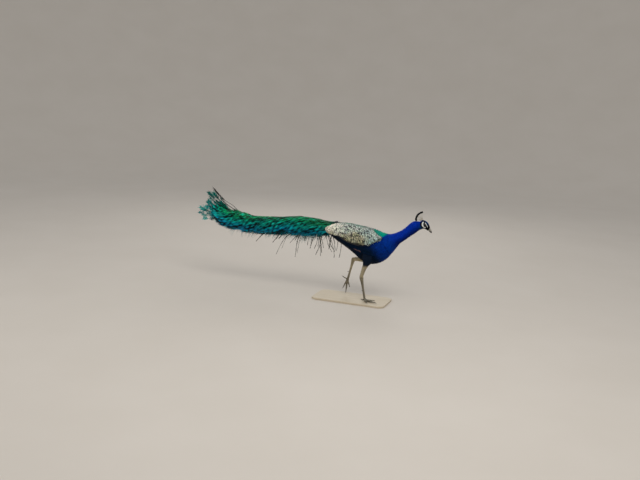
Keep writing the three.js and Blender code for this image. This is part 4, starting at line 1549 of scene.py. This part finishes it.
lidSpots, lidQuads = [], []
for side in (1, -1):
    spots, quads = lidRing(side)
    lidQuads.append(quads + len(spots) * len(lidSpots))
    lidSpots.append(spots)
lidSpots, lidQuads = np.concatenate(lidSpots), np.concatenate(lidQuads)
lidTone = np.array([0.007, 0.011, 0.017, 0.02, 0.012, 0.006])[:, None] * np.array([0.75, 0.8, 1.0])
lids = meshPiece("eyelids", lidSpots, lidQuads, np.tile(lidTone, (len(lidSpots) // 6, 1)))
finishPiece(lids, [], plainFinish("eyelid", 0.0012, 4.0, 0.75, 0.5, 0.5, 0.3, 0.00025))
for side in (1, -1):
    eyeBall(side)

# claws, spurs and the plates on the legs
clawLook = {"voxel": 0.00055, "spurVoxel": 0.0006, "rootIn": 5.5}
toes = ("middle", "inner", "outer", "hind")
clawNames = ["claw_%s_%s" % (toe, side) for toe in toes for side in ("left", "right")]


def clawFinish(start):
    streak = stretched(start, (300, 300, 900))
    blotch = grain(start, 0.004)
    worn = (streak * 0.6 + blotch * 0.4).between(0.3, 0.7)
    colour = worn.pick(tint(38, 32, 27), tint(92, 80, 66))
    return {"Base_Color": colour, "Roughness": 0.35 + (blotch - 0.5) * 0.2, "height": (streak, 0.0002)}


def clawsLengthened(part):  # each claw's root goes on into its toe
    spots = np.array([toBird(vertex.co) for vertex in part.verts])
    middle = spots.mean(0)
    ankle = np.array([1, -38, 9.0]) if middle[1] < 0 else np.array([-147, 40, 112.0])
    way = unit(middle - ankle)
    along = (spots - middle) @ way
    for vertex, reach in zip(part.verts, along):
        if reach < along.min() + 3:  # millimetres of root
            vertex.co += Vector(-way * clawLook["rootIn"] / 1000)


clawHorn = material("clawHorn", clawFinish)
claws = smoothCopy("claws", clawNames, clawLook["voxel"], 2, clawsLengthened)
finishPiece(claws, clawNames, clawHorn)
spurs = smoothCopy("spurs", ["spur_left", "spur_right"], clawLook["spurVoxel"], 2)
finishPiece(spurs, ["spur_left", "spur_right"], clawHorn)
plateLook = {
    "shank": 17, "toe": 13, "lift": 0.75, "toeLift": 0.55, "endLift": 0.5, "spanShank": 1.15, "spanToe": 1.0,
    "across": 7, "rows": [0.05, 0.6, 1.0, 0.55], "tones": [0.62, 0.95, 1.12, 0.85], "toeHeight": 6.5,
}
ankles = {"right": np.array([1, -38, 8.0]), "left": np.array([-147, 40, 112.0])}
hocks = {"right": np.array([-28, -42, 158.0]), "left": np.array([-114, 40, 256.0])}


def hitFrom(out, axis):  # where a ray from outside towards the limb's middle meets the skin
    hits = [skinTree.ray_cast(Vector(a), Vector(b - a).normalized(), 60) for a, b in zip(out, axis)]
    spots = np.array([hit[0] if hit[0] else b for hit, b in zip(hits, axis)])
    offset = spots - axis
    reach = np.linalg.norm(offset, axis=1)
    perPlate = len(plateLook["rows"]) * plateLook["across"]
    usual = np.median(reach.reshape(-1, perPlate), axis=1).repeat(perPlate)
    return axis + unit(out - axis) * np.clip(reach, usual * 0.7, usual * 1.35)[:, None]


def limbPlates(start, end, front, count, span, thick, first=0.04, last=0.97):
    # overlapping plates over the front of a limb that runs from start to end
    way = unit(end - start)
    front = unit(front - way * (front @ way))
    aside = np.cross(way, front)
    us, vs = np.linspace(0, 1, len(plateLook["rows"])), np.linspace(-1, 1, plateLook["across"])
    grids = []
    for i in range(count):
        low = first + (last - first) * i / count
        high = low + (last - first) / count * 1.25
        at = low + (high - low) * us
        bow = at[:, None] + (vs[None] ** 2) * (-0.25 / count)
        axis = start + (end - start) * bow[..., None]
        turn = vs * span
        out = front * np.cos(turn)[:, None] + aside * np.sin(turn)[:, None]
        spots = hitFrom((axis + out * 24).reshape(-1, 3), axis.reshape(-1, 3)).reshape(axis.shape)
        lift = thick * np.array(plateLook["rows"])[:, None] * (1 - 0.9 * np.abs(vs) ** 4)
        grids.append(spots + out[None] * (lift - 0.12)[..., None])
    return grids


plateGrids = []
for side, shankFront, upside in (
    ("right", [1.0, 0, 0.0], [0, 0, 1.0]), ("left", [0.9, 0, -0.35], [0.95, 0, 0.3]),
):
    hock, ankle = hocks[side], ankles[side]
    shankFront, upside = np.array(shankFront), np.array(upside)
    span = plateLook["spanShank"]
    plateGrids += limbPlates(hock, ankle, shankFront, plateLook["shank"], span, plateLook["lift"], 0.07, 0.98)
    for toe in toes:
        low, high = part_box("claw_%s_%s" % (toe, side))
        tip, foot = toBird((low + high) / 2), ankle.copy()
        if side == "right":  # this foot stands on the board
            tip[2] = foot[2] = plateLook["toeHeight"]
        way = unit(tip - foot)
        reach = np.linalg.norm(tip - foot)
        count = max(3, int(plateLook["toe"] * reach / 80))
        for first, last, some, span, lift, low in (
            (0, 8, count, plateLook["spanToe"], plateLook["toeLift"], 0.12),
            (reach - 15, 4, 1, math.pi, plateLook["endLift"], 0.0),
        ):
            ends = (foot + way * first, foot + way * (reach - last))
            plateGrids += limbPlates(*ends, upside, some, span, lift, low, 1.0)
plateGrids = np.array(plateGrids)
shade = np.tile(np.repeat(plateLook["tones"], plateLook["across"]), len(plateGrids))[:, None]
plates = gridPiece("legPlates", plateGrids, legPaint(plateGrids.reshape(-1, 3)) * shade, flip=True)
legPlate = plainFinish("legPlate", 0.0018, 4.0, 0.72, 0.3, 0.48, 0.3, 0.0002, 0.28)
finishPiece(plates, [], legPlate)
print("bill, eyes and feet done")


# flight and tail feathers
vaneRows = 16
vaneAcross = np.array([-1, -0.55, -0.06, 0.06, 0.55, 1.0])
vaneRidge = np.array([-1.0, -0.25, 0.45, 0.45, -0.25, -1.0])


def longVane(line, outward, widths, cup=0.6):  # one long feather: a grid of places on its line
    us = np.linspace(0, 1, vaneRows)
    outward = np.array(outward)
    at = spline(line, us)
    way = unit(np.gradient(at, axis=0))
    face = unit(outward - way * (way @ outward)[:, None])
    side = np.cross(face, way)
    half = np.interp(us, np.linspace(0, 1, len(widths)), widths)
    across = side[:, None] * (half[:, None] * vaneAcross)[..., None]
    return at[:, None] + across + face[:, None] * (vaneRidge * cup)[:, None]


def vaneTone(tone):
    return np.broadcast_to(tone, (vaneRows, len(vaneAcross), 3))


def vanePiece(name, grids, tones, slotName, replaced):
    grids, tones = np.array(grids), np.array(tones)
    count = len(grids)
    us = np.linspace(0, 1, vaneRows)
    order = np.arange(count)[:, None, None, None]
    cell = crossed(us, vaneAcross / 2 + 0.5)[..., ::-1] * np.array([0.9 / count, 0.96])
    baked = order * np.array([1 / count, 0]) + cell + 0.004
    vane = crossed(us * 4, vaneAcross) + order * np.array([5.0, 0])
    finishPiece(gridPiece(name, grids, tones, baked, vane), replaced, longFinish)


longFinish = featherFinish("longFeather", 22.0, 0.16, 0.0002)
tailLook = {
    "feathers": 18, "front": -200, "rear": -578, "frontHalf": 15, "middleHalf": 24, "rearHalf": 30,
    "z": 440.5, "rise": 0.063,
}
grids, tones = [], []
random = np.random.default_rng(181)
for i in range(tailLook["feathers"]):
    share = (i + 0.5) / tailLook["feathers"] * 2 - 1
    front, rear = tailLook["front"], tailLook["rear"] + 70 * abs(share) ** 2
    lower = tailLook["z"] - 1.2 - 4.5 * (1 - abs(share))
    line = np.array([
        [x, share * tailLook[half], lower + tailLook["rise"] * x]
        for x, half in ((front, "frontHalf"), ((front + rear) / 2, "middleHalf"), (rear, "rearHalf"))
    ])
    grids.append(longVane(line, [0, 0.15 * share, -1.0], [1.0, 7, 9, 10, 10, 8.5, 2.0], 0.4))
    tone = blend(paint(92, 78, 62), paint(122, 108, 88), random.random())
    tones.append(vaneTone(tone * np.linspace(0.7, 1.1, vaneRows)[:, None, None]))
vanePiece("tailFeathers", grids, tones, "tail_feathers", ["tail"])

flightLook = {
    "secondaries": 9, "primaries": 4,
    "rump": [[-14, -250, 501], [-5, -244, 503]],  # side, rear end and height of each
}


def lineOnWing(xs, zs, side, missing, out):  # a little outside where rays from the side meet the wing
    starts = np.stack([xs, np.full(len(xs), side * 130.0), zs], -1)
    hits = [skinTree.ray_cast(Vector(start), Vector((0, -side, 0)), 130)[0] for start in starts]
    line = np.array([hit or (start[0], side * missing, start[2]) for hit, start in zip(hits, starts)])
    line[:, 1] += side * out
    return line


secondaries, primaries = ([], []), ([], [])  # the grids and the tones
for side in (1, -1):
    for i in range(flightLook["secondaries"]):
        share = i / (flightLook["secondaries"] - 1)
        xs = np.linspace(30 - 90 * share, -150 - 118 * share, 5)
        zs = wingEdge(xs) + 3.0 - 2.5 * (1 - share) - 4.0
        line = lineOnWing(xs, zs, side, 60, 2.5 + 0.4 * (i % 3))
        secondaries[0].append(longVane(line, [0, side * 1.0, 0.25], [2, 7, 8.5, 9, 8.5, 6, 1.5]))
        secondaries[1].append(vaneTone(paint(26, 24, 26) * (0.8 + 0.4 * random.random())))
    for i in range(flightLook["primaries"]):
        share = i / (flightLook["primaries"] - 1)
        xs = np.linspace(-22 - 8 * share, -74 - 12 * share, 5)
        zs = np.interp(xs, [-90, -60, -28], [353, 345, 338]) + (share - 0.5) * 8 * ease(xs, -90, -50)
        line = lineOnWing(xs, zs, side, 80, 4.6 + 0.5 * i)
        primaries[0].append(longVane(line, [0, side * 1.0, -0.1], [0.8, 2.1, 2.8, 2.8, 2.3, 1.3, 0.3], 0.3))
        primaries[1].append(vaneTone(blend(paint(94, 56, 52), paint(50, 36, 42), random.random())))
for y, rear, top in flightLook["rump"]:  # dark tips that show between the back and the train
    line = np.array([[-216, y * 0.8, 497], [(rear - 216) / 2, y, top + 0.5], [rear, y * 1.1, top - 1]], float)
    secondaries[0].append(longVane(line, [0, -0.5, 1.0], [2.5, 5, 6, 6, 5, 3, 0.6], 0.3))
    secondaries[1].append(vaneTone(paint(6, 7, 6)))
vanePiece("secondaries", *secondaries, "barred_feathers", [])
vanePiece("primaryFeathers", *primaries, "primary_feathers", [])
print("flight and tail feathers done")

# the board
boardLook = {"bevel": 0.0022, "segments": 4}
shape = mergedCopy("stand_base")
bmesh.ops.dissolve_limit(shape, angle_limit=0.02, verts=shape.verts, edges=shape.edges)
rims = [edge for edge in shape.edges if abs(edge.verts[0].co.z - edge.verts[1].co.z) < 1e-6]
bmesh.ops.bevel(
    shape, geom=rims, offset=boardLook["bevel"], segments=boardLook["segments"], profile=0.5, affect="EDGES",
    material=-1,
)
bmesh.ops.triangulate(shape, faces=[face for face in shape.faces if len(face.verts) > 4])
board = pieceFrom("standBoard", shape)


def boardFinish(start):
    figure = stretched(start, (3.0, 60, 60), 1.4, 5.0, bend=0.6)
    pores = stretched(start, (40, 900, 900), detail=2.0)
    rings = ((figure * 14.0).wave() * 0.5 + 0.5) ** 1.5
    colour = (rings * 0.6 + figure * 0.4).pick(tint(204, 190, 166), tint(192, 176, 148))
    colour = (pores.between(0.56, 0.76) * 0.6).pick(colour, tint(166, 148, 120))
    return {
        "Base_Color": colour, "Roughness": 0.5 + (pores - 0.5) * 0.3, "height": (pores + rings * 0.3, 0.0002),
    }


finishPiece(board, ["stand_base"], material("boardWood", boardFinish))


# camera, light and floor
viewLook = {"azimuth": 20.0, "elevation": 11.0, "roll": 2.5, "lens": 42.4, "place": [1349, -4647, 1327]}


def aimed():
    turn, rise, roll = (math.radians(viewLook[key]) for key in ("azimuth", "elevation", "roll"))
    back = Vector((math.sin(turn) * math.cos(rise), -math.cos(turn) * math.cos(rise), math.sin(rise)))
    right = Vector((math.cos(turn), math.sin(turn), 0))
    up = back.cross(right)
    right, up = right * math.cos(roll) + up * math.sin(roll), up * math.cos(roll) - right * math.sin(roll)
    return Matrix((right, up, back)).transposed().to_4x4()


camera = linked("camera", bpy.data.cameras.new("camera"))
camera.data.lens = viewLook["lens"]
camera.data.clip_end = 60
camera.matrix_world = Matrix.Translation(toRow(viewLook["place"])) @ aimed()
bpy.context.scene.camera = camera

lampLook = {
    "key": {"place": (1.6, -2.4, 3.4), "size": 2.2, "power": 66},
    "fill": {"place": (-2.6, -2.6, 1.8), "size": 3.0, "power": 16},
    "rim": {"place": (-0.8, 3.0, 2.6), "size": 2.4, "power": 24},
}
for name, look in lampLook.items():
    lamp = linked(name, bpy.data.lights.new(name, "AREA"))
    lamp.data.energy = look["power"]
    lamp.data.shape = "DISK"
    lamp.data.size = look["size"]
    lamp.location = look["place"]
    lamp.rotation_euler = (Vector((0, 0, 0.3)) - lamp.location).to_track_quat("-Z", "Y").to_euler()
world = bpy.data.worlds.new("studio")
world.use_nodes = True
sky = world.node_tree.nodes["Background"].inputs
sky["Color"].default_value = (0.92, 0.95, 1.0, 1)
sky["Strength"].default_value = 0.6
bpy.context.scene.world = world
bpy.context.scene.view_settings.view_transform = "Standard"


def floorFinish(start):
    broad = grain(start, 0.6, 4.0)
    grit = grain(start, 0.004, 2.0)
    colour = (broad * 0.6 + grit * 0.4).pick(tint(196, 186, 172), tint(210, 201, 189))
    return {"Base_Color": colour, "Roughness": 0.75 + (grit - 0.5) * 0.2, "height": (grit, 0.0004)}


floorLook = {"flat": 6.5, "rim": 13.0, "height": 4.6, "steps": 14, "turns": 96}  # a dish, so no edge shows
shape = bmesh.new()
line = [shape.verts.new((0, 0, 0))]
for i in range(floorLook["steps"] + 1):
    share = i / floorLook["steps"]
    out = floorLook["flat"] + (floorLook["rim"] - floorLook["flat"]) * share
    line.append(shape.verts.new((out, 0, floorLook["height"] * share**2)))
edges = [shape.edges.new(pair) for pair in zip(line, line[1:])]
bmesh.ops.spin(
    shape, geom=line + edges, cent=(0, 0, 0), axis=(0, 0, 1), angle=math.tau, steps=floorLook["turns"],
    use_merge=True,
)
bmesh.ops.remove_doubles(shape, verts=shape.verts, dist=1e-5)
bmesh.ops.recalc_face_normals(shape, faces=shape.faces)
for face in shape.faces:
    if face.normal.z < 0:
        face.normal_flip()
floor = pieceFrom("floor", shape)
setSmooth(floor.data)
floor.data.materials.append(material("floor", floorFinish))
